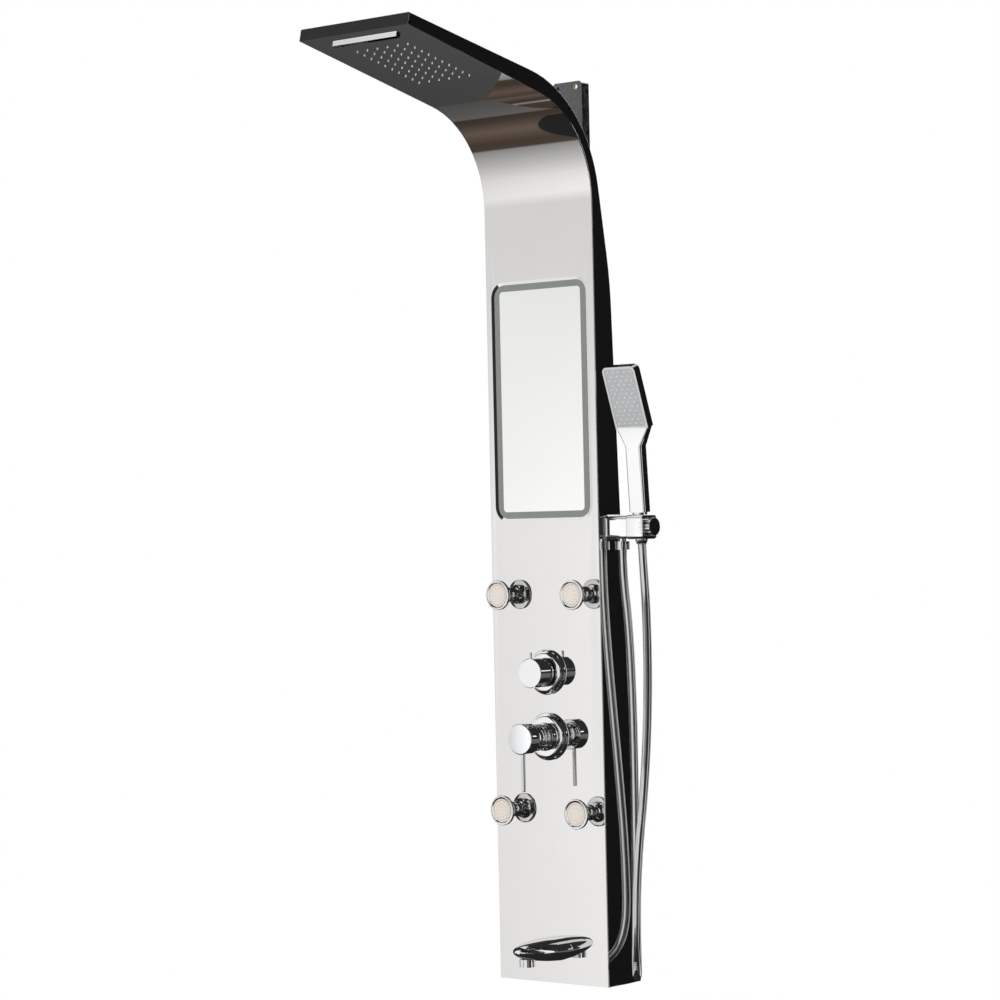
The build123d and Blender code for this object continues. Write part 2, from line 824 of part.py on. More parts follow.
# Mixer body: a cross tube behind the panel with its neck through it and a riser stub
mixer_bore = mixer_cartridge_radius + fit_gap
mixer_bore_back = mixer_body_depth - 6
mixer_stub_reach = 26.0
with BuildPart() as mixer_body:
    with BuildSketch(side_plane_at(-mixer_body_half, mixer_body_depth, mixer_height)):
        Circle(mixer_body_radius)
    extrude(amount=2 * mixer_body_half)
    fillet(mixer_body.edges().filter_by(GeomType.CIRCLE), radius=3)
    with BuildSketch(front_plane(0, mixer_height, -mixer_body_depth)):
        Circle(mixer_neck_radius)
    extrude(amount=mixer_body_depth + mixer_neck_out)
    with BuildSketch(front_plane(0, mixer_height, -sheet)):
        Circle(mixer_neck_radius + locknut_wall)
    extrude(amount=-mixer_shoulder)
    with BuildSketch(level_plane(0, mixer_riser_depth, mixer_height)):
        Circle(stub_radius)
    extrude(amount=mixer_stub_reach)
    for side in (-1, 1):
        with BuildSketch(front_plane(side * inlet_spacing / 2, mixer_height, -mixer_body_depth)):
            Circle(thread_radius + locknut_wall / 2)
        extrude(amount=-mixer_body_radius - 2)
        with BuildSketch(front_plane(side * inlet_spacing / 2, mixer_height, -mixer_body_depth)):
            Circle(thread_bore)
        extrude(amount=-mixer_body_radius - 2, mode=Mode.SUBTRACT)
    with BuildSketch(front_plane(0, mixer_height, mixer_neck_out)):
        Circle(mixer_bore)
    extrude(amount=-mixer_neck_out - mixer_bore_back, mode=Mode.SUBTRACT)
save(mixer_body, "mixer_body")

# Inlet nipples: threaded tails that face the wall, for the hot and cold supply
inlet_start = mixer_body_depth + mixer_body_radius + 2
with BuildPart() as inlet_nipples:
    for side in (-1, 1):
        with BuildSketch(front_plane(side * inlet_spacing / 2, mixer_height, -inlet_start)):
            Circle(thread_radius)
            Circle(thread_bore, mode=Mode.SUBTRACT)
        extrude(amount=-inlet_length)
save(inlet_nipples, "inlet_nipples")

barrel_foot_radius = mixer_barrel_radius + 2.2
mixer_hollow = (mixer_neck_radius + locknut_wall) * 2 / sqrt(3) + nut_room
mixer_plate = cover_plate(
    mixer_height,
    mixer_plate_radius,
    mixer_plate_out,
    barrel_foot_radius + running_gap,
    mixer_hollow,
    mixer_nut_thickness + nut_room / 2,
)
save(mixer_plate, "mixer_escutcheon")

# Mixer barrel: a ringed sleeve from the body's neck out to the cap
barrel_bore = mixer_bore
with BuildPart() as mixer_barrel:
    with BuildSketch(turned_plane(0, mixer_height)):
        with BuildLine():
            Polyline(
                (barrel_bore, mixer_neck_out),
                (barrel_foot_radius, mixer_neck_out),
                (barrel_foot_radius, mixer_plate_out + 3),
            )
            RadiusArc(
                (barrel_foot_radius, mixer_plate_out + 3), (mixer_barrel_radius, mixer_plate_out + 9), -10
            )
            Line((mixer_barrel_radius, mixer_plate_out + 9), (mixer_barrel_radius, mixer_barrel_out))
            Polyline(
                (mixer_barrel_radius, mixer_barrel_out),
                (barrel_bore, mixer_barrel_out),
                (barrel_bore, mixer_neck_out),
            )
        make_face()
        for out in (mixer_plate_out + 12, mixer_plate_out + 20):
            with Locations((mixer_barrel_radius, out)):
                Rectangle(mixer_ring_step, 4, align=(Align.MIN, Align.MIN))
    revolve(axis=out_axis(0, mixer_height))
save(mixer_barrel, "mixer_barrel")

stem_back = mixer_neck_out + 6
with BuildPart() as mixer_cartridge:
    with BuildSketch(front_plane(0, mixer_height, -mixer_bore_back)):
        Circle(mixer_cartridge_radius)
    extrude(amount=mixer_bore_back + mixer_barrel_out - 2)
    with BuildSketch(front_plane(0, mixer_height, stem_back - running_gap)):
        Circle(mixer_stem_radius + running_gap)
    extrude(amount=mixer_barrel_out, mode=Mode.SUBTRACT)
save(mixer_cartridge, "mixer_cartridge")

# Mixer stem: turns in the cartridge and carries the dome that the cap tips on
dome_start = mixer_barrel_out + running_gap
dome_foot_radius = sqrt(mixer_dome_radius**2 - (dome_start - mixer_pivot_out) ** 2)
with BuildPart() as mixer_stem:
    with BuildSketch(turned_plane(0, mixer_height)):
        with BuildLine():
            Polyline(
                (0, mixer_pivot_out + mixer_dome_radius),
                (0, stem_back),
                (mixer_stem_radius, stem_back),
                (mixer_stem_radius, dome_start),
                (dome_foot_radius, dome_start),
            )
            RadiusArc(
                (dome_foot_radius, dome_start), (0, mixer_pivot_out + mixer_dome_radius), -mixer_dome_radius
            )
        make_face()
    revolve(axis=out_axis(0, mixer_height))
save(mixer_stem, "mixer_stem")

# Mixer cap: a crowned cup that tips over the dome, with the lever pin below
cup_inside = mixer_dome_radius + running_gap
cap_mouth = sqrt(cup_inside**2 - (mixer_cap_start - mixer_pivot_out) ** 2)
cap_rim_out = mixer_cap_out - mixer_cap_crown
cap_round = 0.8
lever_top = mixer_height - mixer_cap_radius + 8
with BuildPart() as mixer_cap:
    with BuildSketch(turned_plane(0, mixer_height)):
        with BuildLine():
            RadiusArc(
                (cap_mouth, mixer_cap_start), (0, mixer_pivot_out + cup_inside), -cup_inside
            )
            Line((0, mixer_pivot_out + cup_inside), (0, mixer_cap_out))
            ThreePointArc(
                (0, mixer_cap_out),
                (0.55 * mixer_cap_radius, mixer_cap_out - 0.28 * mixer_cap_crown),
                (mixer_cap_radius - cap_round, cap_rim_out),
            )
            Polyline(
                (mixer_cap_radius - cap_round, cap_rim_out),
                (mixer_cap_radius, cap_rim_out - cap_round),
                (mixer_cap_radius, mixer_cap_start + cap_round),
                (mixer_cap_radius - cap_round, mixer_cap_start),
                (cap_mouth, mixer_cap_start),
            )
        make_face()
    revolve(axis=out_axis(0, mixer_height))
    with BuildSketch(level_plane(0, -mixer_lever_out, lever_top)):
        Circle(mixer_lever_radius)
    extrude(amount=-mixer_cap_radius, mode=Mode.SUBTRACT)
save(mixer_cap, "mixer_cap")

with BuildPart() as mixer_lever:
    with BuildSketch(level_plane(0, -mixer_lever_out, lever_top)):
        Circle(mixer_lever_radius)
    extrude(amount=mixer_height - mixer_lever_reach - lever_top)
    fillet(mixer_lever.edges().group_by(Axis.Z)[0], radius=mixer_lever_radius / 3)
save(mixer_lever, "mixer_lever")

# Mixer riser: the pipe that feeds the diverter
riser_bottom = mixer_height + mixer_stub_reach
with BuildPart() as mixer_riser:
    with BuildSketch(level_plane(0, mixer_riser_depth, riser_bottom)):
        Circle(pipe_radius)
        Circle(pipe_bore, mode=Mode.SUBTRACT)
    extrude(amount=diverter_height - diverter_stub_reach - riser_bottom)
save(mixer_riser, "mixer_riser")

# Bath spout: a flat oval bill that narrows to a rounded nose
spout_stations = [0.0, 0.25, 0.5, 0.72, 0.88, 0.965, 0.994]
with BuildPart() as spout_body:
    for share in spout_stations:
        width = spout_half_width * sqrt(1 - share**2)
        drop = spout_half_thickness - spout_nose_thickness
        thickness = (spout_half_thickness - drop * share**1.6) * (1 - share**9) ** 0.5
        with BuildSketch(front_plane(0, spout_height + spout_rise * share, share * spout_length)):
            Ellipse(width, thickness)
    loft()
    with BuildSketch(level_plane(0, -aerator_out, spout_height - aerator_drop + aerator_height)):
        Circle(aerator_radius + fit_gap)
    extrude(amount=-aerator_drop, mode=Mode.SUBTRACT)
    with BuildSketch(front_plane(0, spout_height)):
        Circle(thread_radius + fit_gap)
    extrude(amount=spout_shank_grip, mode=Mode.SUBTRACT)
save(spout_body, "spout_body")

with BuildPart() as spout_aerator:
    with BuildSketch(level_plane(0, -aerator_out, spout_height - aerator_drop)):
        Circle(aerator_radius)
    extrude(amount=aerator_height)
    chamfer(spout_aerator.edges().group_by(Axis.Z)[0], length=0.8)
    with BuildSketch(level_plane(0, -aerator_out, spout_height - aerator_drop)):
        Circle(aerator_radius - 2.5)
    extrude(amount=3, mode=Mode.SUBTRACT)
save(spout_aerator, "spout_aerator")

with BuildPart() as spout_shank:
    with BuildSketch(front_plane(0, spout_height, -spout_shank_back)):
        Circle(thread_radius)
        Circle(thread_bore, mode=Mode.SUBTRACT)
    extrude(amount=spout_shank_back + spout_shank_grip)
save(spout_shank, "spout_shank")

# Spout pipe: from the diverter down past the mixer to the spout's elbow
spout_pipe_side = (mixer_body_half + jet_side - elbow_radius) / 2
spout_pipe_top = diverter_height - diverter_stub_reach
pipe_bend = 4 * pipe_radius
spout_pipe = pipe(
    [
        at(top_stub_x, spout_pipe_depth, spout_pipe_top),
        at(top_stub_x, spout_pipe_depth, spout_pipe_top - pipe_bend),
        at(spout_pipe_side, spout_pipe_depth, spout_pipe_top - 2.2 * pipe_bend),
        at(spout_pipe_side, spout_pipe_depth, spout_height),
        at(elbow_stub_length, spout_pipe_depth, spout_height),
    ],
    [pipe_bend / 2, pipe_bend / 2, pipe_bend],
)
save(spout_pipe, "spout_pipe")

# Rain nozzles: a soft mat inside the head, its tips through the underside
mat_width = nozzle_pitch_across * (nozzle_columns - 1) + 2 * nozzle_mat_margin
mat_length = nozzle_pitch_along * (nozzle_rows - 1) + 2 * nozzle_mat_margin
inside = -sheet
with BuildPart() as rain_nozzles:
    with BuildSketch(underside_plane.offset(inside)):
        with Locations((0, nozzle_field_along)):
            Rectangle(mat_width, mat_length)
    extrude(amount=-nozzle_mat_thickness)
    with BuildSketch(underside_plane.offset(inside)):
        with Locations((0, nozzle_field_along)):
            with GridLocations(nozzle_pitch_across, nozzle_pitch_along, nozzle_columns, nozzle_rows):
                RegularPolygon(nozzle_radius, 6)
    extrude(amount=sheet + nozzle_reach)
save(rain_nozzles, "rain_nozzles")

# Rain chamber: a flat box over the mat, fed from behind
chamber_floor = inside - nozzle_mat_thickness
chamber_width = mat_width - 2 * chamber_margin
chamber_length = mat_length - 2 * chamber_margin
chamber_back = nozzle_field_along - chamber_length / 2
with BuildPart() as rain_chamber:
    with BuildSketch(underside_plane.offset(chamber_floor)):
        with Locations((0, nozzle_field_along)):
            Rectangle(chamber_width, chamber_length)
    extrude(amount=-chamber_height)
    with BuildSketch(underside_plane.offset(chamber_floor)):
        with Locations((0, nozzle_field_along)):
            Rectangle(chamber_width - 2 * chamber_wall, chamber_length - 2 * chamber_wall)
    extrude(amount=chamber_wall - chamber_height, mode=Mode.SUBTRACT)
save(rain_chamber, "rain_chamber")

# Waterfall nozzle: a flat tube that stands down from the underside near the tip
with BuildPart() as waterfall_nozzle:
    with BuildSketch(underside_plane.offset(inside)):
        with Locations((0, fall_along)):
            Rectangle(fall_width, fall_thickness)
            Rectangle(fall_width - 2 * fall_wall, fall_thickness - 2 * fall_wall, mode=Mode.SUBTRACT)
    extrude(amount=sheet + fall_drop)
save(waterfall_nozzle, "waterfall_nozzle")

# Waterfall box: a flat box over the nozzle's inner end
fall_box_width = fall_width + 2 * fall_box_margin
fall_box_length = fall_thickness + 2 * fall_box_margin
fall_box_back = fall_along - fall_box_length / 2
with BuildPart() as waterfall_box:
    with BuildSketch(underside_plane.offset(inside)):
        with Locations((0, fall_along)):
            Rectangle(fall_box_width, fall_box_length)
    extrude(amount=-chamber_height - nozzle_mat_thickness)
    with BuildSketch(underside_plane.offset(inside)):
        with Locations((0, fall_along)):
            Rectangle(fall_box_width - 2 * chamber_wall, fall_box_length - 2 * chamber_wall)
    extrude(amount=chamber_wall - chamber_height - nozzle_mat_thickness, mode=Mode.SUBTRACT)
save(waterfall_box, "waterfall_box")

# Head pipes: from the diverter up behind the front, round the bend and along the head
head_pipe_bottom = diverter_height + diverter_stub_reach
head_pipe_bend = bend_radius + head_pipe_above
fall_pipe_x = fall_box_width / 2 - pipe_radius - chamber_wall
rain_pipe = pipe(
    [
        at(-top_stub_x, head_pipe_above, head_pipe_bottom),
        at(-top_stub_x, *bend_corner(head_pipe_above)),
        at(-top_stub_x, *underside(chamber_back, head_pipe_above)),
    ],
    [head_pipe_bend],
)
waterfall_pipe = pipe(
    [
        at(top_stub_x, head_pipe_above, head_pipe_bottom),
        at(top_stub_x, head_pipe_above, head_pipe_bottom + 6 * pipe_bend),
        at(fall_pipe_x, head_pipe_above, head_pipe_bottom + 10 * pipe_bend),
        at(fall_pipe_x, *bend_corner(head_pipe_above)),
        at(fall_pipe_x, *underside(fall_box_back, head_pipe_above)),
    ],
    [pipe_bend, pipe_bend, head_pipe_bend],
)
with BuildPart() as head_pipes:
    add(rain_pipe.part)
    add(waterfall_pipe.part)
save(head_pipes, "head_pipes")

# Outlet arm: a round arm out of the right side, with the hose outlet below and the holder's pivot
with BuildPart() as outlet_arm:
    with BuildSketch(side_plane_at(half_width, arm_depth, arm_height)):
        Circle(arm_flange_radius)
    extrude(amount=arm_flange_thickness)
    with BuildSketch(side_plane_at(half_width, arm_depth, arm_height)):
        Circle(arm_radius)
    extrude(amount=arm_length)
    chamfer(outlet_arm.edges().filter_by(GeomType.CIRCLE).group_by(Axis.X)[-1], length=0.8)
    with BuildSketch(side_plane_at(half_width, arm_depth, arm_height)):
        Circle(thread_radius)
    extrude(amount=-arm_tail_length)
    with BuildSketch(side_plane_at(half_width - arm_tail_length, arm_depth, arm_height)):
        Circle(arm_bore_radius)
    extrude(amount=arm_tail_length + arm_bore_end, mode=Mode.SUBTRACT)
    with BuildSketch(level_plane(outlet_x, arm_depth, arm_height)):
        Circle(outlet_radius + fit_gap)
    extrude(amount=-arm_radius - 1, mode=Mode.SUBTRACT)
    with BuildSketch(side_plane_at(arm_end, arm_depth, arm_height)):
        Circle(pivot_radius + running_gap)
    extrude(amount=-pivot_length - running_gap, mode=Mode.SUBTRACT)
save(outlet_arm, "outlet_arm")

handset_pipe = pipe(
    [
        at(top_stub_x, handset_pipe_depth, head_pipe_bottom),
        at(top_stub_x, handset_pipe_depth, arm_height),
        at(half_width - arm_tail_length, arm_depth, arm_height),
    ],
    [2 * pipe_bend],
)
save(handset_pipe, "handset_pipe")

# Hose outlet: a nipple under the arm and the fluted nut that holds the hose on it
nipple_top = arm_height - arm_bore_radius
nipple_bottom = outlet_nut_bottom + outlet_nut_height / 2
with BuildPart() as outlet_nipple:
    with BuildSketch(level_plane(outlet_x, arm_depth, nipple_bottom)):
        Circle(outlet_radius)
        Circle(outlet_bore, mode=Mode.SUBTRACT)
    extrude(amount=nipple_top - nipple_bottom)
save(outlet_nipple, "outlet_nipple")

with BuildPart() as outlet_nut:
    with BuildSketch(level_plane(outlet_x, arm_depth, outlet_nut_bottom)):
        Circle(outlet_nut_radius)
        with PolarLocations(outlet_nut_radius, outlet_nut_flutes):
            Circle(1, mode=Mode.SUBTRACT)
        Circle(outlet_bore, mode=Mode.SUBTRACT)
    extrude(amount=outlet_nut_height)
    with BuildSketch(level_plane(outlet_x, arm_depth, nipple_bottom)):
        Circle(outlet_radius + fit_gap)
    extrude(amount=outlet_nut_height, mode=Mode.SUBTRACT)
save(outlet_nut, "outlet_nut")

# Handset holder: a round cradle on the arm's end, with a tapered hole and a slot at the back
handset_plane = Plane(
    origin=at(holder_x, arm_depth, arm_height),
    x_dir=(1, 0, 0),
    z_dir=(0, -sin(radians(handle_lean)), cos(radians(handle_lean))),
)
seat_gap = running_gap
with BuildPart() as handset_cradle:
    with BuildSketch(side_plane_at(cradle_start, arm_depth, arm_height)):
        Circle(cradle_radius)
    extrude(amount=cradle_length)
    chamfer(handset_cradle.edges().filter_by(GeomType.CIRCLE), length=1)
    with BuildSketch(side_plane_at(cradle_start, arm_depth, arm_height)):
        Circle(pivot_radius)
    extrude(amount=-pivot_length)
    with BuildSketch(handset_plane.offset(-cone_half_length)):
        Circle(cone_bottom_radius + seat_gap)
    with BuildSketch(handset_plane.offset(cone_half_length)):
        Circle(cone_top_radius + seat_gap)
    loft(mode=Mode.SUBTRACT)
    with BuildSketch(handset_plane):
        Rectangle(cradle_slot, 2 * cradle_radius, align=(Align.CENTER, Align.MIN))
    extrude(amount=cone_half_length, both=True, mode=Mode.SUBTRACT)
    with BuildSketch(side_plane_at(cradle_end, arm_depth, arm_height)):
        Circle(clamp_screw_radius + fit_gap)
    extrude(amount=-clamp_screw_length, mode=Mode.SUBTRACT)
save(handset_cradle, "handset_cradle")

# Clamp knob: a fluted knob on the cradle's end
clamp_start = cradle_end + running_gap
with BuildPart() as clamp_knob:
    with BuildSketch(side_plane_at(clamp_start, arm_depth, arm_height)):
        Circle(clamp_radius)
        with PolarLocations(clamp_radius + clamp_flute_radius / 2, clamp_flutes):
            Circle(clamp_flute_radius, mode=Mode.SUBTRACT)
    extrude(amount=clamp_length)
    with BuildSketch(side_plane_at(clamp_start, arm_depth, arm_height)):
        Circle(clamp_screw_radius)
    extrude(amount=running_gap - clamp_screw_length)
save(clamp_knob, "clamp_knob")

# Hose cone: the tapered end fitting that stands in the cradle
cone_foot_start = -cone_half_length - cone_foot
with BuildPart() as hose_cone:
    with BuildSketch(handset_plane.offset(-cone_half_length)):
        Circle(cone_bottom_radius)
    with BuildSketch(handset_plane.offset(cone_half_length)):
        Circle(cone_top_radius)
    loft()
    with BuildSketch(handset_plane.offset(cone_half_length)):
        Circle(cone_top_radius)
    extrude(amount=handle_start - cone_half_length)
    with BuildSketch(handset_plane.offset(cone_foot_start)):
        Circle(cone_foot_radius)
    extrude(amount=cone_foot)
    with BuildSketch(handset_plane.offset(cone_foot_start)):
        Circle(outlet_bore)
    extrude(amount=handle_start - cone_foot_start, mode=Mode.SUBTRACT)
save(hose_cone, "hose_cone")

# Hand shower: handle, widening neck and a flat head that leans further forward
handle_end = handle_start + handle_length
neck_end = handle_end + neck_length
spray_origin = handset_plane.from_local_coords(Vector(0, 0, neck_end))
spray_up = (0, -sin(radians(head_lean)), cos(radians(head_lean)))
spray_plane = Plane(origin=spray_origin, x_dir=(1, 0, 0), z_dir=spray_up)
spray_front = Plane(
    origin=spray_plane.from_local_coords(Vector(0, -spray_thickness / 2, spray_length / 2)),
    x_dir=(1, 0, 0),
    z_dir=-spray_plane.y_dir,
)
face_width = spray_width - 2 * face_margin
face_length = spray_length - 2 * face_margin
with BuildPart() as handset_body:
    with BuildSketch(handset_plane.offset(handle_start)):
        RectangleRounded(handle_width, handle_thickness, handle_corner)
    extrude(amount=handle_length)
    with BuildSketch(handset_plane.offset(handle_end)):
        RectangleRounded(handle_width, handle_thickness, handle_corner)
    with BuildSketch(spray_plane):
        RectangleRounded(spray_width, spray_thickness, handle_corner)
    loft()
    with BuildSketch(spray_front) as spray_outline:
        Rectangle(spray_width, spray_length)
        fillet(spray_outline.vertices().group_by(Axis.Y)[-1], radius=spray_corner)
    extrude(amount=-spray_thickness)
    with BuildSketch(spray_front):
        RectangleRounded(face_width, face_length, face_corner)
    extrude(amount=-face_thickness, mode=Mode.SUBTRACT)
save(handset_body, "handset_body")

# Spray face and its soft nozzles, in rows that stand half a pitch apart
with BuildPart() as handset_face:
    with BuildSketch(spray_front.offset(-face_thickness)):
        RectangleRounded(face_width - 2 * fit_gap, face_length - 2 * fit_gap, face_corner)
    extrude(amount=face_thickness)
save(handset_face, "handset_face")

full_rows = (spray_rows + 1) // 2
with BuildPart() as handset_nozzles:
    with BuildSketch(spray_front):
        with GridLocations(spray_pitch_across, 2 * spray_pitch_along, spray_columns, full_rows):
            RegularPolygon(spray_nozzle_radius, 6)
        with GridLocations(spray_pitch_across, 2 * spray_pitch_along, spray_columns - 1, full_rows - 1):
            RegularPolygon(spray_nozzle_radius, 6)
    extrude(amount=spray_nozzle_reach)
save(handset_nozzles, "handset_nozzles")

# Shower hose: straight runs joined by bends, each bend as wide as its shorter run lets it be
hose_end = handset_plane.from_local_coords(Vector(0, 0, cone_foot_start))
hose_before_end = handset_plane.from_local_coords(Vector(0, 0, cone_foot_start - hose_last_run))
hose_points = [Vector(at(outlet_x, arm_depth, outlet_nut_bottom))]
hose_points += [Vector(at(*place)) for place in hose_route]
hose_points += [hose_before_end, hose_end]


def bend_radius_at(before, corner, after):
    """Widest bend at a corner that leaves part of both runs straight."""
    arriving = corner - before
    leaving = after - corner
    turn = radians(arriving.get_angle(leaving))
    return hose_run_share * min(arriving.length, leaving.length) / tan(turn / 2)


hose_bends = [bend_radius_at(*hose_points[i : i + 3]) for i in range(len(hose_points) - 2)]
print("hose bends:", [round(radius) for radius in hose_bends])

# The hose hangs in one upright plane, and its rings are set out square to that plane
loop_way = Vector(at(*hose_route[8])) - Vector(at(*hose_route[5]))
ring_x = Vector(-loop_way.Y, loop_way.X, 0)
ring_steps = [
    (0.0, hose_valley_radius),
    (0.22, hose_radius),
    (0.78, hose_radius),
    (0.999, hose_valley_radius),
]
with BuildPart() as shower_hose:
    with BuildLine() as hose_path:
        FilletPolyline(*hose_points, radius=hose_bends)
    hose_line = hose_path.wire()
    print("hose length:", round(hose_line.length))
    for rib in range(hose_ribs):
        for step, radius in ring_steps:
            share = (rib + step) / hose_ribs
            way = hose_line.tangent_at(share)
            square_x = ring_x - way * ring_x.dot(way)
            with BuildSketch(Plane(origin=hose_line.position_at(share), x_dir=square_x, z_dir=way)):
                Circle(radius)
    loft(ruled=True)
    with BuildSketch(Plane(origin=hose_line @ 0, z_dir=hose_line % 0)):
        Circle(hose_bore)
    sweep(path=hose_line, mode=Mode.SUBTRACT)
save(shower_hose, "shower_hose")
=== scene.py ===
"""Dresses the rainfall shower column: finishes, fine forms, hose, studio and camera."""
import json
import logging
import math
from dataclasses import dataclass
from enum import Enum
from functools import cached_property

import bmesh
import bpy
from mathutils import Matrix, Vector

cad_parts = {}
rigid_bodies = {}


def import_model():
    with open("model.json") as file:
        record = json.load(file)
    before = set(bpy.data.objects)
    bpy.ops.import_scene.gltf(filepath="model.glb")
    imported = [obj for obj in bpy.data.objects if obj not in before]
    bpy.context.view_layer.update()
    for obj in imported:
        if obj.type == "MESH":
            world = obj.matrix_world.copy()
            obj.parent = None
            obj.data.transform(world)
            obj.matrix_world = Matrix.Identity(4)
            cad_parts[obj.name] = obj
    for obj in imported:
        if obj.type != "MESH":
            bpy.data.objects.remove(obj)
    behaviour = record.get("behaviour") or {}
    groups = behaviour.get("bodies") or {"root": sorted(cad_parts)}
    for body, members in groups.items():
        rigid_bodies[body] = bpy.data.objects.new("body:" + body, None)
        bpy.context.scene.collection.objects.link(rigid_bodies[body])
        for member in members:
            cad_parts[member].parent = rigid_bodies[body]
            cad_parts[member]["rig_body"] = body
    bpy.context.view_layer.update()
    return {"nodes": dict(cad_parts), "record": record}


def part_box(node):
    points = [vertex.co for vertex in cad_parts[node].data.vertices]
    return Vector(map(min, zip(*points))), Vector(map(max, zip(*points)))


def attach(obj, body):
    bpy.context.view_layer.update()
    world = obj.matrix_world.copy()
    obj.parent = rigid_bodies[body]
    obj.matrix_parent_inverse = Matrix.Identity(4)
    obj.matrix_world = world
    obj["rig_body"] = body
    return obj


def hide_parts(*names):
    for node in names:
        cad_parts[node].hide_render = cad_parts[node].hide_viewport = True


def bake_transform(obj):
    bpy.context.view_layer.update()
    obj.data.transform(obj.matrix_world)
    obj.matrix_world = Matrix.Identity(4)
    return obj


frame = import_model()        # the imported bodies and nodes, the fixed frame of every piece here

log = logging.getLogger("shower_column")

Colour = tuple[float, float, float]
Point = tuple[float, float, float]

MM = 0.001    # metres

# Places in millimetres: depths run back from the panel's face, heights up from its foot.
PANEL_DEPTH = 83.0
ORIGIN_HEIGHT = 1428.5
HEAD_RISE = math.radians(13.2)
BEND_CORNER = 1361.0
MIRROR_HEIGHT = 923.8
HOLDER_DEPTH = 34.0
HOLDER_HEIGHT = 719.0

# How meshes are cleaned, eased, rounded and creased (in degrees), and how fine made forms are.
MERGE_DISTANCE = 0.002 * MM
FLAT_ANGLE = math.radians(0.4)
EASE_SEGMENTS = 3
ROUND_STEPS = 8
MADE_CREASE = 30.0
NUB_CREASE = 40.0
THREAD_STEPS = 24
CREST_SIDES = 4
RIB_STEPS = 4.0
LAST_CREST_STEP = 1.5
RIGHT = Vector((1, 0, 0))
NODE_SLOTS = {part["node"]: part["material_slot"] for part in frame["record"]["subparts"]}


def place(x: float, depth: float, height: float) -> Vector:
    """A point in the row frame from millimetres across, behind the panel's face and above its foot."""
    return Vector((x, depth - PANEL_DEPTH, height - ORIGIN_HEIGHT)) * MM


def plane_matrix(origin: Vector, across: Vector, out: Vector) -> Matrix:
    """A frame whose X runs across a face and whose Z stands out of it.

    Args:
        origin: The face's middle.
        across: The direction that becomes local X.
        out: The direction that becomes local Z.

    Returns:
        The matrix from that frame to the row frame.
    """
    z_axis = out.normalized()
    x_axis = across.normalized()
    y_axis = z_axis.cross(x_axis)
    turned = Matrix((x_axis, y_axis, z_axis)).transposed()
    return Matrix.Translation(origin) @ turned.to_4x4()


def mesh_of(form: bmesh.types.BMesh, name: str) -> bpy.types.Mesh:
    """Turns a form into a named mesh and frees it."""
    mesh = bpy.data.meshes.new(name)
    form.to_mesh(mesh)
    form.free()
    return mesh


def smoothed(mesh: bpy.types.Mesh, crease: float) -> bpy.types.Mesh:
    """Shades a mesh smooth, with sharp edges from a crease angle in degrees."""
    mesh.shade_smooth()
    mesh.set_sharp_from_angle(angle=math.radians(crease))
    return mesh


class Edge(Enum):
    """How far an edge is broken, in metres."""

    CRISP = 0.0
    EASED = 0.0004
    ROUNDED = 0.0009
    FOLDED = 0.0016


class Wiring:
    """A node tree that takes nodes, links, constants, sums, spreads and ramps."""

    prefix = "ShaderNode"

    def __init__(self, tree: bpy.types.NodeTree) -> None:
        """Takes the tree that is wired."""
        self.tree = tree

    def feed(self, socket: bpy.types.NodeSocket, value: object) -> None:
        """Links a socket to another or sets its constant."""
        if isinstance(value, bpy.types.NodeSocket):
            self.tree.links.new(value, socket)
        else:
            socket.default_value = value

    def add(self, kind: str, settings: dict | None = None, **feeds: object) -> bpy.types.Node:
        """Adds a node.

        Args:
            kind: The node's type, whose prefix may be left out if it is the tree's own.
            settings: Properties of the node.
            feeds: Sockets by name with underscores for spaces, each a socket or a constant.

        Returns:
            The new node.
        """
        node = self.tree.nodes.new(kind if "Node" in kind else self.prefix + kind)
        for name, value in (settings or {}).items():
            setattr(node, name, value)
        for name, value in feeds.items():
            self.feed(node.inputs[name.replace("_", " ")], value)
        return node

    def math(self, operation: str, *numbers: object) -> bpy.types.NodeSocket:
        """The result of a sum of two or three numbers."""
        node = self.add("ShaderNodeMath", {"operation": operation})
        for socket, number in zip(node.inputs, numbers):
            self.feed(socket, number)
        return node.outputs[0]

    def spread(
        self, value: object, before: tuple[float, float], after: tuple[float, float]
    ) -> bpy.types.NodeSocket:
        """Carries a value from one range over to another, held at its ends."""
        ends = dict(zip(("From_Min", "From_Max", "To_Min", "To_Max"), before + after))
        return self.add("ShaderNodeMapRange", Value=value, **ends).outputs["Result"]

    def ramp(self, value: object, stops: list[tuple[float, Colour]]) -> bpy.types.NodeSocket:
        """A colour that follows a value through stops, each a place from 0 to 1 and its colour."""
        node = self.add("ShaderNodeValToRGB", Fac=value)
        elements = node.color_ramp.elements
        while len(elements) < len(stops):
            elements.new(1.0)
        for element, (spot, colour) in zip(elements, stops):
            element.position = spot
            element.color = (*colour, 1)
        return node.outputs["Color"]


class Shader(Wiring):
    """One material's node tree on Object coordinates."""

    def __init__(self, name: str) -> None:
        """Starts an empty material."""
        self.material = bpy.data.materials.new(name)
        self.material.use_nodes = True
        super().__init__(self.material.node_tree)
        self.tree.nodes.clear()
        self.output = self.add("OutputMaterial")

    @cached_property
    def coordinates(self) -> bpy.types.NodeSocket:
        """Places on the piece, the same at rest and in motion."""
        return self.add("TexCoord").outputs["Object"]

    def show(self, node: bpy.types.Node) -> None:
        """Makes a node's result the material's surface."""
        self.feed(self.output.inputs["Surface"], node.outputs[0])

    def glow(self, **light: object) -> bpy.types.Material:
        """Gives off plain light of a colour and strength, and returns the material."""
        self.material.cycles.emission_sampling = "NONE"
        self.show(self.add("Emission", **light))
        return self.material


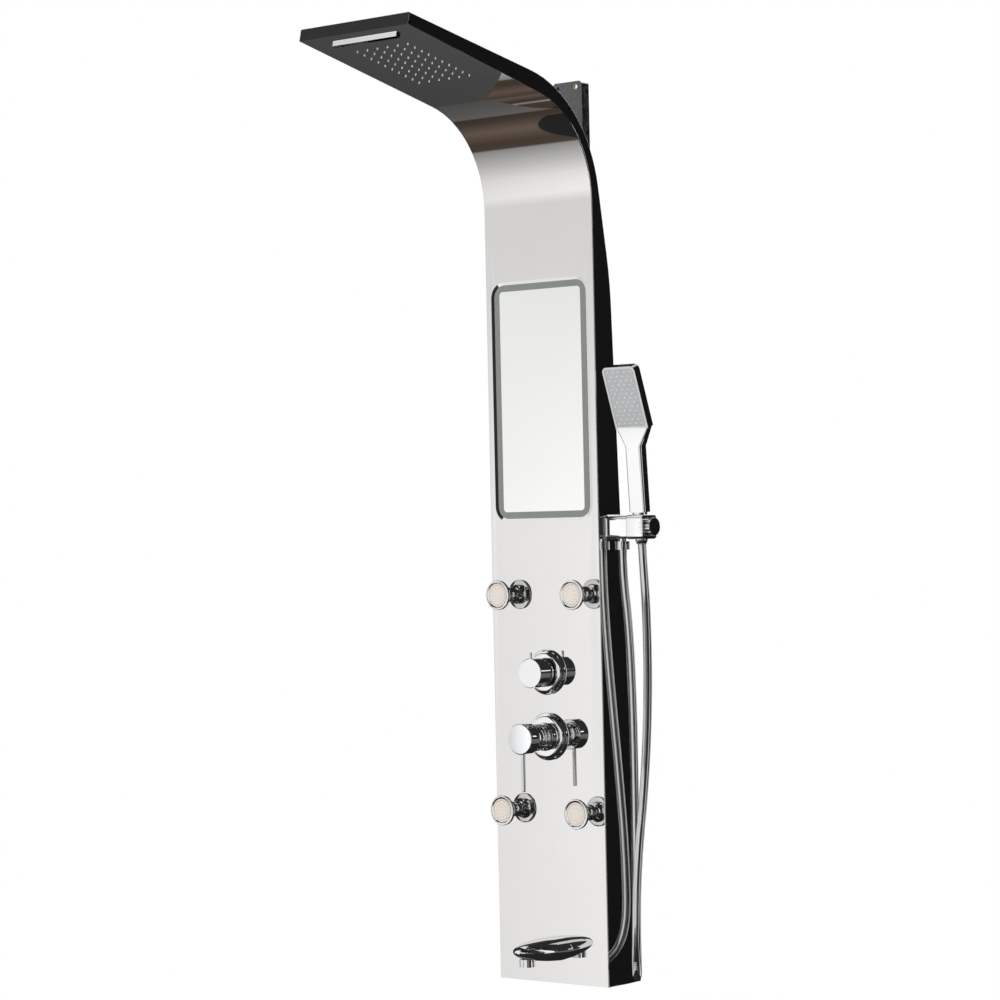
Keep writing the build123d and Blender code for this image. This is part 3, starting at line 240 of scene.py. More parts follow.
class Coat(Shader):
    """A principled material, wired step by step."""

    # The middle part of a noise field, where most of its values lie.
    noise_span = (0.3, 0.7)

    def __init__(self, name: str) -> None:
        """Starts a principled material."""
        super().__init__(name)
        self.surface = self.add("BsdfPrincipled")
        self.show(self.surface)

    def fix(self, **values: float) -> None:
        """Sets the surface's constant sockets, named with underscores for spaces."""
        for name, value in values.items():
            self.surface.inputs[name.replace("_", " ")].default_value = value

    def noise(
        self, scale: float, detail: float, stretch: Point = (1.0, 1.0, 1.0)
    ) -> bpy.types.NodeSocket:
        """A noise field over the piece.

        Args:
            scale: Waves per metre.
            detail: Octaves of finer noise.
            stretch: Factors on the three axes, for grain that runs one way.

        Returns:
            The noise value's socket.
        """
        mapping = self.add("Mapping", Vector=self.coordinates, Scale=stretch)
        field = self.add("TexNoise", Vector=mapping.outputs["Vector"], Scale=scale, Detail=detail)
        return field.outputs["Fac"]

    def cells(self, scale: float) -> bpy.types.NodeSocket:
        """Random tones over crystal-like cells."""
        field = self.add("TexVoronoi", Vector=self.coordinates, Scale=scale)
        return self.add("SeparateColor", Color=field.outputs["Color"]).outputs["Red"]

    def tones(self, value: bpy.types.NodeSocket, low: Colour, high: Colour) -> None:
        """Colours the surface between two tones by a value."""
        stops = list(zip(self.noise_span, (low, high)))
        self.feed(self.surface.inputs["Base Color"], self.ramp(value, stops))

    def roughen(self, value: bpy.types.NodeSocket, low: float, high: float) -> None:
        """Varies the surface's roughness between two numbers by a value."""
        self.feed(self.surface.inputs["Roughness"], self.spread(value, self.noise_span, (low, high)))

    def bump(self, value: bpy.types.NodeSocket, strength: float, distance: float) -> None:
        """Raises the surface by a value.

        Args:
            value: The height field.
            strength: How much of the bump shows.
            distance: The height of one unit, in metres.
        """
        relief = self.add("Bump", Strength=strength, Distance=distance, Height=value)
        self.feed(self.surface.inputs["Normal"], relief.outputs["Normal"])


def shaded(tone: Colour, factor: float) -> Colour:
    """A tone made darker or lighter by a factor."""
    return tuple(min(1.0, channel * factor) for channel in tone)


@dataclass(frozen=True)
class Finish:
    """A finish whose patches vary its tone and whose smears vary its roughness, under a grain.

    Patches and smears are noise: a scale, a detail and, where they run one way, a stretch.
    """

    name: str
    tint: Colour
    roughness: float
    haze: float = 0.0
    grain: float = 0.0
    grain_scale: float = 1200.0
    mottle: float = 1.0
    sheen: float = 0.0

    metallic = 1.0
    lacquer = 0.0
    lacquer_roughness = 0.01
    patch = (45.0, 4.0)
    smear = patch
    grain_detail = 2.0
    grain_height = 0.0001

    def fields(self, coat: Coat) -> tuple[bpy.types.NodeSocket, bpy.types.NodeSocket]:
        """The values that the tone and the roughness follow."""
        return coat.noise(*self.patch), coat.noise(*self.smear)

    def build(self) -> bpy.types.Material:
        """Returns the finish as a material."""
        coat = Coat(self.name)
        coat.fix(
            Metallic=self.metallic,
            Sheen_Weight=self.sheen,
            Coat_Weight=self.lacquer,
            Coat_Roughness=self.lacquer_roughness,
        )
        patches, smears = self.fields(coat)
        coat.tones(patches, shaded(self.tint, self.mottle), self.tint)
        coat.roughen(smears, self.roughness, self.roughness + self.haze)
        if self.grain:
            relief = coat.noise(self.grain_scale, self.grain_detail)
            coat.bump(relief, self.grain, self.grain_height)
        return coat.material


@dataclass(frozen=True)
class PolishedMetal(Finish):
    """Plated or buffed metal with faint haze and a slow ripple as its grain."""

    mottle: float = 0.985
    patch = (22.0, 3.0)
    smear = (6.0, 4.0, (1.0, 1.0, 0.35))
    grain_detail = 1.0
    grain_height = 0.001


@dataclass(frozen=True)
class CastMetal(Finish):
    """Bare brass with a grainy skin and darker, rougher patches."""

    haze: float = -0.15
    grain: float = 0.25
    grain_scale: float = 900.0
    mottle: float = 0.72
    patch = smear = (30.0, 5.0)
    grain_detail = 3.0


@dataclass(frozen=True)
class SpangledSteel(Finish):
    """Zinc-coated sheet with its patchwork of crystals."""

    haze: float = 0.14
    grain: float = 0.12
    grain_scale: float = 700.0
    mottle: float = 0.7
    spangle_scale = 140.0

    def fields(self, coat: Coat) -> tuple[bpy.types.NodeSocket, bpy.types.NodeSocket]:
        """The crystals, for the tone and the roughness alike."""
        spangle = coat.cells(self.spangle_scale)
        return spangle, spangle


@dataclass(frozen=True)
class Moulded(Finish):
    """Moulded plastic or rubber with a fine grain."""

    haze: float = 0.12
    grain: float = 0.15
    mottle: float = 0.93
    metallic = 0.0


@dataclass(frozen=True)
class SilveredGlass(Finish):
    """Mirror glass: silver behind a clear coat with a trace of dust."""

    haze: float = 0.025
    mottle: float = 0.985
    lacquer = 0.3
    patch = (4.0, 2.0)
    smear = (60.0, 6.0)


SILICONE = {"grain": 0.12, "grain_scale": 1500.0, "sheen": 0.1}
FINISHES = {
    "panel_steel": PolishedMetal("polished_panel", (0.83, 0.82, 0.805), 0.012, 0.02, 0.008, 5.0),
    "bracket_steel": SpangledSteel("galvanised_bracket", (0.24, 0.24, 0.25), 0.28),
    "eyelet_brass": CastMetal("yellow_brass", (0.86, 0.6, 0.24), 0.33),
    "mirror_rim": Moulded("grey_mirror_rim", (0.19, 0.205, 0.195), 0.3, mottle=0.94),
    "mirror_silver": SilveredGlass("silvered_glass", (0.99, 0.99, 0.975), 0.005),
    "foam": Moulded("foam_tape", (0.62, 0.61, 0.58), 0.8, grain=0.6, grain_scale=600.0, mottle=0.85),
    "chrome": PolishedMetal("bright_chrome", (0.9, 0.905, 0.915), 0.015, 0.03, 0.015, 30.0),
    "hose_metal": PolishedMetal("hose_chrome", (0.86, 0.865, 0.875), 0.03, 0.02, 0.01, 60.0),
    "soft_beige": Moulded("beige_silicone", (0.66, 0.6, 0.545), 0.42, mottle=0.97, **SILICONE),
    "soft_white": Moulded("white_silicone", (0.82, 0.82, 0.8), 0.4, mottle=0.95, **SILICONE),
    "seal": Moulded("black_rubber", (0.025, 0.025, 0.027), 0.5, 0.12, 0.2, 900.0, 0.8),
    "raw_brass": CastMetal("cast_brass", (0.75, 0.55, 0.28), 0.43),
    "pipe_plastic": Moulded("milky_pipe", (0.68, 0.7, 0.7), 0.3, grain=0.08, grain_scale=500.0),
    "white_plastic": Moulded("white_plastic", (0.78, 0.78, 0.76), 0.38),
    "handset_chrome": PolishedMetal("handset_chrome", (0.92, 0.92, 0.925), 0.015, 0.03, 0.01, 20.0),
    "spray_grey": Moulded("spray_grey", (0.4, 0.41, 0.42), 0.3, mottle=0.95),
}


class Palette:
    """Builds each finish once and hands it out by the record's slot."""

    made: dict[str, bpy.types.Material] = {}

    @classmethod
    def of(cls, slot: str) -> bpy.types.Material:
        """The material of a slot."""
        if slot not in cls.made:
            cls.made[slot] = FINISHES[slot].build()
        return cls.made[slot]


def add_object(name: str, data: bpy.types.ID) -> bpy.types.Object:
    """Puts a mesh, curve, lamp or camera into the scene as an object at the origin."""
    thing = bpy.data.objects.new(name, data)
    bpy.context.scene.collection.objects.link(thing)
    return thing


def settle(piece: bpy.types.Object) -> None:
    """Turns a piece's modifiers into plain mesh and removes them."""
    bpy.context.view_layer.update()
    graph = bpy.context.evaluated_depsgraph_get()
    mesh = bpy.data.meshes.new_from_object(
        piece.evaluated_get(graph), preserve_all_data_layers=True, depsgraph=graph
    )
    piece.modifiers.clear()
    piece.data = mesh


def fit_out(piece: bpy.types.Object, body: str, nodes: tuple[str, ...] = ()) -> None:
    """Hands a finished piece to its body and hides the CAD nodes it stands for.

    Args:
        piece: The mesh object, at the origin.
        body: The CAD body that it moves with.
        nodes: CAD nodes that it replaces.
    """
    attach(piece, body)
    if nodes:
        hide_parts(*nodes)
    log.info("%s on %s, %d faces", piece.name, body, len(piece.data.polygons))


def clad(mesh: bpy.types.Mesh, slot: str, body: str, nodes: tuple[str, ...] = ()) -> None:
    """Puts a made mesh into the scene in its slot's finish and hands it to its body."""
    if len(mesh.materials) == 0:
        mesh.materials.append(Palette.of(slot))
    fit_out(add_object(mesh.name, mesh), body, nodes)


@dataclass(frozen=True)
class Dressing:
    """How one CAD node is dressed: its piece's name, its edges and its crease angle."""

    node: str
    piece: str
    edge: Edge = Edge.CRISP
    crease: float = 32.0

    def merged(self) -> bmesh.types.BMesh:
        """A merged copy of the node's mesh, its flat faces joined up."""
        form = bmesh.new()
        form.from_mesh(frame["nodes"][self.node].data)
        bmesh.ops.remove_doubles(form, verts=form.verts, dist=MERGE_DISTANCE)
        if self.edge is not Edge.CRISP:
            bmesh.ops.dissolve_limit(form, angle_limit=FLAT_ANGLE, verts=form.verts, edges=form.edges)
        return form

    def build(self) -> None:
        """Makes the smooth piece and hands it to the node's body."""
        self.finish(mesh_of(self.merged(), self.piece))

    def finish(self, mesh: bpy.types.Mesh) -> None:
        """Eases the edges, sets the normals and the material, and replaces the node."""
        slot = NODE_SLOTS[self.node]
        mesh.materials.clear()
        mesh.materials.append(Palette.of(slot))
        piece = add_object(self.piece, smoothed(mesh, self.crease))
        if self.edge is not Edge.CRISP:
            ease = piece.modifiers.new("ease", "BEVEL")
            ease.width = self.edge.value
            ease.segments = EASE_SEGMENTS
            ease.limit_method = "ANGLE"
            ease.angle_limit = math.radians(self.crease)
            ease.harden_normals = True
        normals = piece.modifiers.new("normals", "WEIGHTED_NORMAL")
        normals.keep_sharp = True
        settle(piece)
        fit_out(piece, frame["nodes"][self.node]["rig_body"], (self.node,))


def dressed(edge: Edge, **pieces: str) -> tuple[Dressing, ...]:
    """Dressings with the same edges, from the pieces' names by the nodes that they dress."""
    return tuple(Dressing(node, piece, edge) for node, piece in pieces.items())


class SubAssembly:
    """A group of CAD nodes that are dressed together."""

    dressings: tuple[Dressing, ...] = ()

    def dress(self) -> None:
        """Dresses every node of the group and adds the forms that it makes itself."""
        for dressing in self.dressings:
            dressing.build()
        self.add_forms()

    def add_forms(self) -> None:
        """Adds the group's own forms; a plain group has none."""


class TreeSketch(Wiring):
    """One Geometry Nodes tree with named inputs, wired step by step."""

    prefix = "GeometryNode"

    def __init__(self, name: str) -> None:
        """Starts a tree with a geometry in and out."""
        super().__init__(bpy.data.node_groups.new(name, "GeometryNodeTree"))
        for way in ("INPUT", "OUTPUT"):
            self.tree.interface.new_socket("Geometry", in_out=way, socket_type="NodeSocketGeometry")
        self.entry = self.add("NodeGroupInput")
        self.exit = self.add("NodeGroupOutput")

    def size(self, name: str, kind: str = "Float") -> bpy.types.NodeSocket:
        """Adds a named input of a kind such as Float, Int, Vector or Material."""
        self.tree.interface.new_socket(name, in_out="INPUT", socket_type="NodeSocket" + kind)
        return self.entry.outputs[name]

    def close(self, geometry: bpy.types.NodeSocket) -> bpy.types.GeometryNodeTree:
        """Ends the tree in real geometry with its material."""
        whole = self.add("RealizeInstances", Geometry=geometry)
        material = self.size("Material", "Material")
        coated = self.add("SetMaterial", Geometry=whole.outputs[0], Material=material)
        self.feed(self.exit.inputs[0], coated.outputs[0])
        return self.tree


def grown(
    tree: bpy.types.GeometryNodeTree, name: str, sizes: dict, seed: bpy.types.Mesh | None = None
) -> bpy.types.Mesh:
    """Runs a tree once and keeps its result as plain mesh.

    Args:
        tree: The Geometry Nodes tree.
        name: The new mesh's name.
        sizes: Values by the names of the tree's inputs.
        seed: The mesh that the tree starts from, or none.

    Returns:
        The mesh that the tree made.
    """
    carrier = add_object(name + "_carrier", seed or bpy.data.meshes.new(name + "_seed"))
    modifier = carrier.modifiers.new("tree", "NODES")
    modifier.node_group = tree
    for item in tree.interface.items_tree:
        if item.item_type == "SOCKET" and item.in_out == "INPUT" and item.name in sizes:
            modifier[item.identifier] = sizes[item.name]
    settle(carrier)
    mesh = carrier.data
    mesh.name = name
    bpy.data.objects.remove(carrier)
    return mesh


class NubTrees:
    """Trees that set out soft nozzle tips in a grid or in a ring."""

    sides = 10
    hole_share = 0.5

    @staticmethod
    def sizes(radius: float, tip_share: float, reach: float, slot: str, layout: dict) -> dict:
        """Inputs of a nub tree.

        Args:
            radius: A nub's radius at its root, in millimetres.
            tip_share: Its tip's share of that.
            reach: How far it stands out.
            slot: The record's material slot.
            layout: The inputs that set the nubs out.

        Returns:
            All inputs by name.
        """
        return {
            **layout,
            "Root Radius": radius * MM,
            "Tip Radius": radius * tip_share * MM,
            "Reach": reach * MM,
            "Material": Palette.of(slot),
        }

    @classmethod
    def planted(cls, sketch: TreeSketch, field: bpy.types.Node) -> bpy.types.GeometryNodeTree:
        """Ends a tree with a hollow-tipped nub on each point of its field."""
        reach = sketch.size("Reach")
        cone = sketch.add(
            "MeshCone",
            Vertices=cls.sides,
            Side_Segments=2,
            Radius_Top=sketch.size("Tip Radius"),
            Radius_Bottom=sketch.size("Root Radius"),
            Depth=reach,
        ).outputs
        rim = sketch.add(
            "ExtrudeMesh", Mesh=cone["Mesh"], Selection=cone["Top"], Offset_Scale=0.0
        ).outputs
        narrow = sketch.add(
            "ScaleElements", Geometry=rim["Mesh"], Selection=rim["Top"], Scale=cls.hole_share
        )
        sunk = sketch.math("MULTIPLY", reach, -cls.hole_share)
        hole = sketch.add(
            "ExtrudeMesh", Mesh=narrow.outputs[0], Selection=rim["Top"], Offset_Scale=sunk
        )
        set_out = sketch.add(
            "InstanceOnPoints", Points=field.outputs["Mesh"], Instance=hole.outputs["Mesh"]
        )
        return sketch.close(set_out.outputs[0])

    @classmethod
    def grid(cls) -> bpy.types.GeometryNodeTree:
        """The tree of a square field of nubs."""
        sketch = TreeSketch("nub_grid")
        columns = sketch.size("Columns", "Int")
        rows = sketch.size("Rows", "Int")
        spans = []
        for count, pitch in ((columns, "Pitch Across"), (rows, "Pitch Along")):
            gaps = sketch.math("SUBTRACT", count, 1.0)
            spans.append(sketch.math("MULTIPLY", gaps, sketch.size(pitch)))
        across, along = spans
        field = sketch.add("MeshGrid", Size_X=across, Size_Y=along, Vertices_X=columns, Vertices_Y=rows)
        return cls.planted(sketch, field)

    @classmethod
    def ring(cls) -> bpy.types.GeometryNodeTree:
        """The tree of a round row of nubs."""
        sketch = TreeSketch("nub_ring")
        count, radius = sketch.size("Count", "Int"), sketch.size("Ring Radius")
        return cls.planted(sketch, sketch.add("MeshCircle", Vertices=count, Radius=radius))


def thread_tree() -> bpy.types.GeometryNodeTree:
    """The tree of a screw thread: a helix with a sharp crest."""
    sketch = TreeSketch("screw_thread")
    radius = sketch.size("Radius")
    helix = sketch.add(
        "CurveSpiral",
        Resolution=THREAD_STEPS,
        Rotations=sketch.size("Turns"),
        Start_Radius=radius,
        End_Radius=radius,
        Height=sketch.size("Length"),
    )
    crest = sketch.add("CurvePrimitiveCircle", Resolution=CREST_SIDES, Radius=sketch.size("Depth"))
    swept = sketch.add(
        "CurveToMesh", Curve=helix.outputs[0], Profile_Curve=crest.outputs[0], Fill_Caps=True
    )
    return sketch.close(swept.outputs[0])


def ribbed_tree() -> bpy.types.GeometryNodeTree:
    """The tree of a metal hose: a tube whose wall steps in and out along a path."""
    sketch = TreeSketch("ribbed_hose")
    pitch = sketch.size("Pitch")
    crest = sketch.size("Crest Radius")
    valley = sketch.size("Valley Radius")
    path = sketch.add("MeshToCurve", Mesh=sketch.entry.outputs["Geometry"])
    step = sketch.math("DIVIDE", pitch, RIB_STEPS)
    steps = sketch.add("ResampleCurve", {"mode": "LENGTH"}, Curve=path.outputs[0], Length=step)
    turn = sketch.math("MODULO", sketch.add("InputIndex").outputs[0], RIB_STEPS)
    on_crest = sketch.math("LESS_THAN", turn, LAST_CREST_STEP)
    depth = sketch.math("MULTIPLY", sketch.math("SUBTRACT", crest, valley), on_crest)
    radius = sketch.math("ADD", valley, depth)
    ring = sketch.add("CurvePrimitiveCircle", Resolution=sketch.size("Sides", "Int"), Radius=1.0)
    wall = sketch.add(
        "CurveToMesh",
        Curve=steps.outputs[0],
        Profile_Curve=ring.outputs[0],
        Scale=radius,
        Fill_Caps=True,
    )
    return sketch.close(wall.outputs[0])


def rounded_outline(width: float, length: float, corner: float, depth: float) -> list[Vector]:
    """Points round a rounded rectangle about the mirror's middle.

    Args:
        width: Its width in millimetres.
        length: Its length.
        corner: The radius of its corners.
        depth: How far behind the panel's face it lies.

    Returns:
        The points in the row frame.
    """
    points = []
    for quarter, (side, end) in enumerate(((1, 1), (-1, 1), (-1, -1), (1, -1))):
        for step in range(ROUND_STEPS + 1):
            turn = math.pi / 2 * (quarter + step / ROUND_STEPS)
            x = side * (width / 2 - corner) + corner * math.cos(turn)
            rise = end * (length / 2 - corner) + corner * math.sin(turn)
            points.append(place(x, depth, MIRROR_HEIGHT + rise))
    return points


def looped_mesh(
    name: str, loops: list[list[Vector]], capped: bool, crease: float = MADE_CREASE
) -> bpy.types.Mesh:
    """A closed form through loops of matching points.

    Args:
        name: The mesh's name.
        loops: The loops, in order along the form's section.
        capped: Whether the first and last loops are filled, or joined to each other as in a ring.
        crease: The angle in degrees from which an edge is sharp.

    Returns:
        The mesh, shaded.
    """
    form = bmesh.new()
    rows = [[form.verts.new(point) for point in loop] for loop in loops]
    pairs = list(zip(rows, rows[1:]))
    if not capped:
        pairs.append((rows[-1], rows[0]))
    for row, after in pairs:
        for spot in range(len(row)):
            form.faces.new((row[spot - 1], row[spot], after[spot], after[spot - 1]))
    if capped:
        form.faces.new(rows[0])
        form.faces.new(rows[-1])
    bmesh.ops.recalc_face_normals(form, faces=form.faces)
    return smoothed(mesh_of(form, name), crease)


@dataclass(frozen=True)
class MirrorSeat:
    """The shallow dish that is pressed into the panel for the mirror."""

    width: float = 198.4
    length: float = 383.8
    corner: float = 25.0
    drop: float = 0.9
    clearance: float = 1.0

    def outline(self, depth: float) -> list[Vector]:
        """The dish's outer edge at a depth."""
        return rounded_outline(self.width, self.length, self.corner, depth)

    def cutter(self) -> bpy.types.Mesh:
        """The block that is cut from the panel's face."""
        loops = [self.outline(-self.clearance), self.outline(self.drop)]
        return looped_mesh("mirror_seat_cut", loops, True)


class PanelShell(SubAssembly):
    """The folded steel column with its curved head, and the cover over the head."""

    half_width = 110.0
    fold_angle = math.radians(60)
    fold_segments = 4
    slack = 1e-5
    sideways = 0.9
    dressings = dressed(Edge.EASED, top_cover="head_top_cover")

    def folds(self, form: bmesh.types.BMesh) -> list[bmesh.types.BMEdge]:
        """The outer edges where the front sheet is folded back into the sides."""
        picked = []
        for edge in form.edges:
            if len(edge.link_faces) != 2 or edge.calc_face_angle(0.0) < self.fold_angle:
                continue
            offsets = [abs(corner.co.x) - self.half_width * MM for corner in edge.verts]
            outer = all(abs(offset) < self.slack for offset in offsets)
            sideways = [abs(face.normal.x) > self.sideways for face in edge.link_faces]
            if outer and any(sideways) and not all(sideways) and edge.is_convex:
                picked.append(edge)
        return picked

    def add_forms(self) -> None:
        """Makes the column's skin with rounded folds."""
        form = Dressing("front_shell", "column_skin", Edge.FOLDED).merged()
        bmesh.ops.bevel(
            form,
            geom=self.folds(form),
            offset=Edge.FOLDED.value,
            segments=self.fold_segments,
            profile=0.5,
            affect="EDGES",
            clamp_overlap=False,
        )
        skin = Dressing("front_shell", "column_skin")
        skin.finish(self.seated(mesh_of(form, skin.piece)))

    @staticmethod
    def seated(mesh: bpy.types.Mesh) -> bpy.types.Mesh:
        """The skin with the mirror's seat cut into it."""
        blank = add_object("column_blank", mesh)
        block = add_object("mirror_seat_cut", MirrorSeat().cutter())
        cut = blank.modifiers.new("seat", "BOOLEAN")
        cut.operation = "DIFFERENCE"
        cut.solver = "EXACT"
        cut.object = block
        settle(blank)
        pressed = blank.data
        for spare in (blank, block):
            bpy.data.objects.remove(spare)
        return pressed


class WallFixings(SubAssembly):
    """Brackets on the wall, bridges inside the panel and their screws."""

    dressings = dressed(
        Edge.EASED,
        wall_bracket="upper_wall_bracket",
        lower_bracket="lower_wall_bracket",
        upper_bridge="upper_cross_bridge",
        lower_bridge="lower_cross_bridge",
    ) + dressed(Edge.CRISP, bridge_screws="bridge_screw_set", screw_eyelet="brass_eyelet")


@dataclass
class MirrorPanel(SubAssembly):
    """The long mirror with its grey rim and foam pad, in the panel's dish."""

    width: float = 186.0
    length: float = 374.4
    corner: float = 20.0
    corner_tightening: float = 1.3
    least_corner: float = 1.0
    band: float = 10.6
    rim_depth: float = 0.35
    glass_depth: float = 0.45
    pad_depth: float = 0.75
    pad_inset: float = 0.5
    rim_ease: tuple[float, float] = (0.3, 0.2)
    dish_lip: float = 0.05
    dish_crease: float = 6.0
    seat: MirrorSeat = MirrorSeat()

    def outline(self, inset: float, depth: float) -> list[Vector]:
        """The mirror's outline, drawn in by an inset, at a depth."""
        corner = max(self.corner - self.corner_tightening * inset, self.least_corner)
        return rounded_outline(self.width - 2 * inset, self.length - 2 * inset, corner, depth)

    def build_dish(self) -> None:
        """Slopes the dish from the panel's face down to the mirror."""
        floor = self.seat.drop
        mirror_edge = [self.outline(0.0, floor - self.dish_lip), self.outline(0.0, floor)]
        loops = [self.seat.outline(0.0), *mirror_edge, self.seat.outline(floor)]
        clad(looped_mesh("mirror_dish", loops, False, self.dish_crease), "panel_steel", "column")

    def build_mirror(self) -> None:
        """Lays the pad, the glass and the rim in the dish."""
        pad, band, front = self.pad_depth, self.band, self.rim_depth
        sheet = [self.outline(self.pad_inset, depth) for depth in (pad, self.seat.drop)]
        clad(looped_mesh("mirror_foam_pad", sheet, True), "foam", "column", ("mirror_pad",))
        plate = [self.outline(band, depth) for depth in (self.glass_depth, pad)]
        glass = looped_mesh("mirror_glass_plate", plate, True)
        clad(glass, "mirror_silver", "column", ("mirror_glass",))
        ease_in, ease_back = self.rim_ease
        section = ((ease_in, front), (band, front), (band, pad), (0.0, pad), (0.0, front + ease_back))
        rim = [self.outline(inset, depth) for inset, depth in section]
        clad(looped_mesh("mirror_grey_rim", rim, False), "mirror_rim", "column", ("mirror_frame",))

    def add_forms(self) -> None:
        """Builds the dish and the mirror in it."""
        self.build_dish()
        self.build_mirror()


@dataclass
class BodyJets(SubAssembly):
    """Four swivelling body jets with soft faces and raised spray nubs."""

    ring_radius: float = 10.5
    ring_count: int = 10
    nub_radius: float = 0.9
    nub_tip: float = 0.8
    nub_reach: float = 0.8

    dressings = tuple(
        Dressing(f"jet_{node}_{number}", f"jet_{piece}_{number}")
        for number in (1, 2, 3, 4)
        for node, piece in (("head", "trumpet"), ("face", "soft_face"))
    ) + dressed(Edge.CRISP, jet_sockets="jet_socket_rings", jet_washers="jet_seal_washers")

    def centre(self, number: int) -> Vector:
        """The middle of one jet's face, in its numbered place."""
        low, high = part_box(f"jet_face_{number}")
        middle = (low + high) / 2
        return Vector((middle.x, low.y, middle.z))

    def add_forms(self) -> None:
        """Sets a ring of spray nubs on each face."""
        tree = NubTrees.ring()
        layout = {"Count": self.ring_count, "Ring Radius": self.ring_radius * MM}
        sizes = NubTrees.sizes(self.nub_radius, self.nub_tip, self.nub_reach, "soft_beige", layout)
        for number in (1, 2, 3, 4):
            mesh = grown(tree, f"jet_spray_nubs_{number}", sizes)
            mesh.transform(plane_matrix(self.centre(number), RIGHT, Vector((0, -1, 0))))
            clad(mesh, "soft_beige", f"jet_{number}")


class Diverter(SubAssembly):
    """The round outlet selector with its pointer pin."""

    dressings = dressed(Edge.ROUNDED, diverter_knob="selector_knob") + dressed(
        Edge.CRISP,
        diverter_escutcheon="selector_plate",
        diverter_pointer="selector_pin",
        diverter_spindle="selector_spindle",
        diverter_body="selector_valve",
    )


@dataclass(frozen=True)
class FlattenedDressing(Dressing):
    """A crowned node whose face is drawn out nearly flat, its rim brought up to the crown."""

    crown: float = 2.5
    kept: float = 0.25
    rim_round: float = 0.85

    def merged(self) -> bmesh.types.BMesh:
        """The node's mesh with its crown drawn out."""
        form = super().merged()
        front = min(vertex.co.y for vertex in form.verts)
        crown = self.crown * MM
        for vertex in form.verts:
            back = vertex.co.y - front
            if back < crown:
                vertex.co.y = front + back * self.kept
            elif back < crown + self.rim_round * MM:
                vertex.co.y -= crown * (1 - self.kept)
        return form


class Mixer(SubAssembly):
    """The single-lever mixer: plate, ringed barrel, domed stem, cap and pin lever."""

    dressings = (FlattenedDressing("mixer_cap", "mixer_cap_head"),) + dressed(
        Edge.CRISP,
        mixer_escutcheon="mixer_plate",
        mixer_barrel="mixer_ringed_barrel",
        mixer_stem="mixer_dome",
        mixer_lever="mixer_pin_lever",
        mixer_body="mixer_valve",
        mixer_cartridge="mixer_insert",
    )


class BathSpout(SubAssembly):
    """The wide bath spout with its round outlet in a bright sleeve."""

    sleeve_play = 0.05
    sleeve_wall = 0.8
    sleeve_sides = 32

    dressings = dressed(
        Edge.CRISP,
        spout_body="bath_spout",
        spout_aerator="spout_outlet_insert",
        spout_shank="spout_threaded_shank",
    )

    def add_forms(self) -> None:
        """Puts the bright sleeve round the outlet insert."""
        low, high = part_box("spout_aerator")
        middle = (low + high) / 2
        inner = (high.x - low.x) / 2 + self.sleeve_play * MM
        outer = inner + self.sleeve_wall * MM
        turns = [2 * math.pi * side / self.sleeve_sides for side in range(self.sleeve_sides)]
        ways = [Vector((math.cos(turn), math.sin(turn), 0)) for turn in turns]
        loops = []
        for radius, z in ((inner, low.z), (outer, low.z), (outer, high.z), (inner, high.z)):
            centre = Vector((middle.x, middle.y, z))
            loops.append([centre + radius * way for way in ways])
        clad(looped_mesh("spout_outlet_sleeve", loops, False), "chrome", "column")


@dataclass
class RainHead(SubAssembly):
    """Everything in the curved head: rain nozzles, waterfall slot and their boxes."""

    columns: int = 6
    rows: int = 10
    pitch_across: float = 20.3
    pitch_along: float = 16.0
    field_along: float = 297.8
    nub_radius: float = 1.25
    nub_tip: float = 0.72
    nub_reach: float = 1.6
    mouth_share: float = 0.5

    dressings = dressed(
        Edge.ROUNDED, rain_chamber="rain_water_box", waterfall_box="waterfall_water_box"
    )

    @property
    def down(self) -> Vector:
        """The way that the head's underside faces."""
        return Vector((0, -math.sin(HEAD_RISE), -math.cos(HEAD_RISE)))

    def build_mouth(self) -> None:
        """Makes the waterfall's mouthpiece, its lip drawn in under the head."""
        dressing = Dressing("waterfall_nozzle", "waterfall_mouthpiece")
        form = dressing.merged()
        for vertex in form.verts:
            below = (vertex.co - place(0, 0, BEND_CORNER)).dot(self.down)
            vertex.co -= self.down * max(below, 0.0) * (1 - self.mouth_share)
        dressing.finish(mesh_of(form, dressing.piece))

    def build_nozzles(self) -> None:
        """Sets out the soft rain nozzles under the head."""
        rise = Vector((0, -math.cos(HEAD_RISE), math.sin(HEAD_RISE)))
        middle = place(0, 0, BEND_CORNER) + rise * self.field_along * MM
        layout = {
            "Columns": self.columns,
            "Rows": self.rows,
            "Pitch Across": self.pitch_across * MM,
            "Pitch Along": self.pitch_along * MM,
        }
        sizes = NubTrees.sizes(self.nub_radius, self.nub_tip, self.nub_reach, "soft_white", layout)
        mesh = grown(NubTrees.grid(), "rain_soft_nozzles", sizes)
        mesh.transform(plane_matrix(middle, RIGHT, self.down))
        clad(smoothed(mesh, NUB_CREASE), "soft_white", "column", ("rain_nozzles",))

    def add_forms(self) -> None:
        """Adds the mouthpiece and the nozzles."""
        self.build_mouth()
        self.build_nozzles()


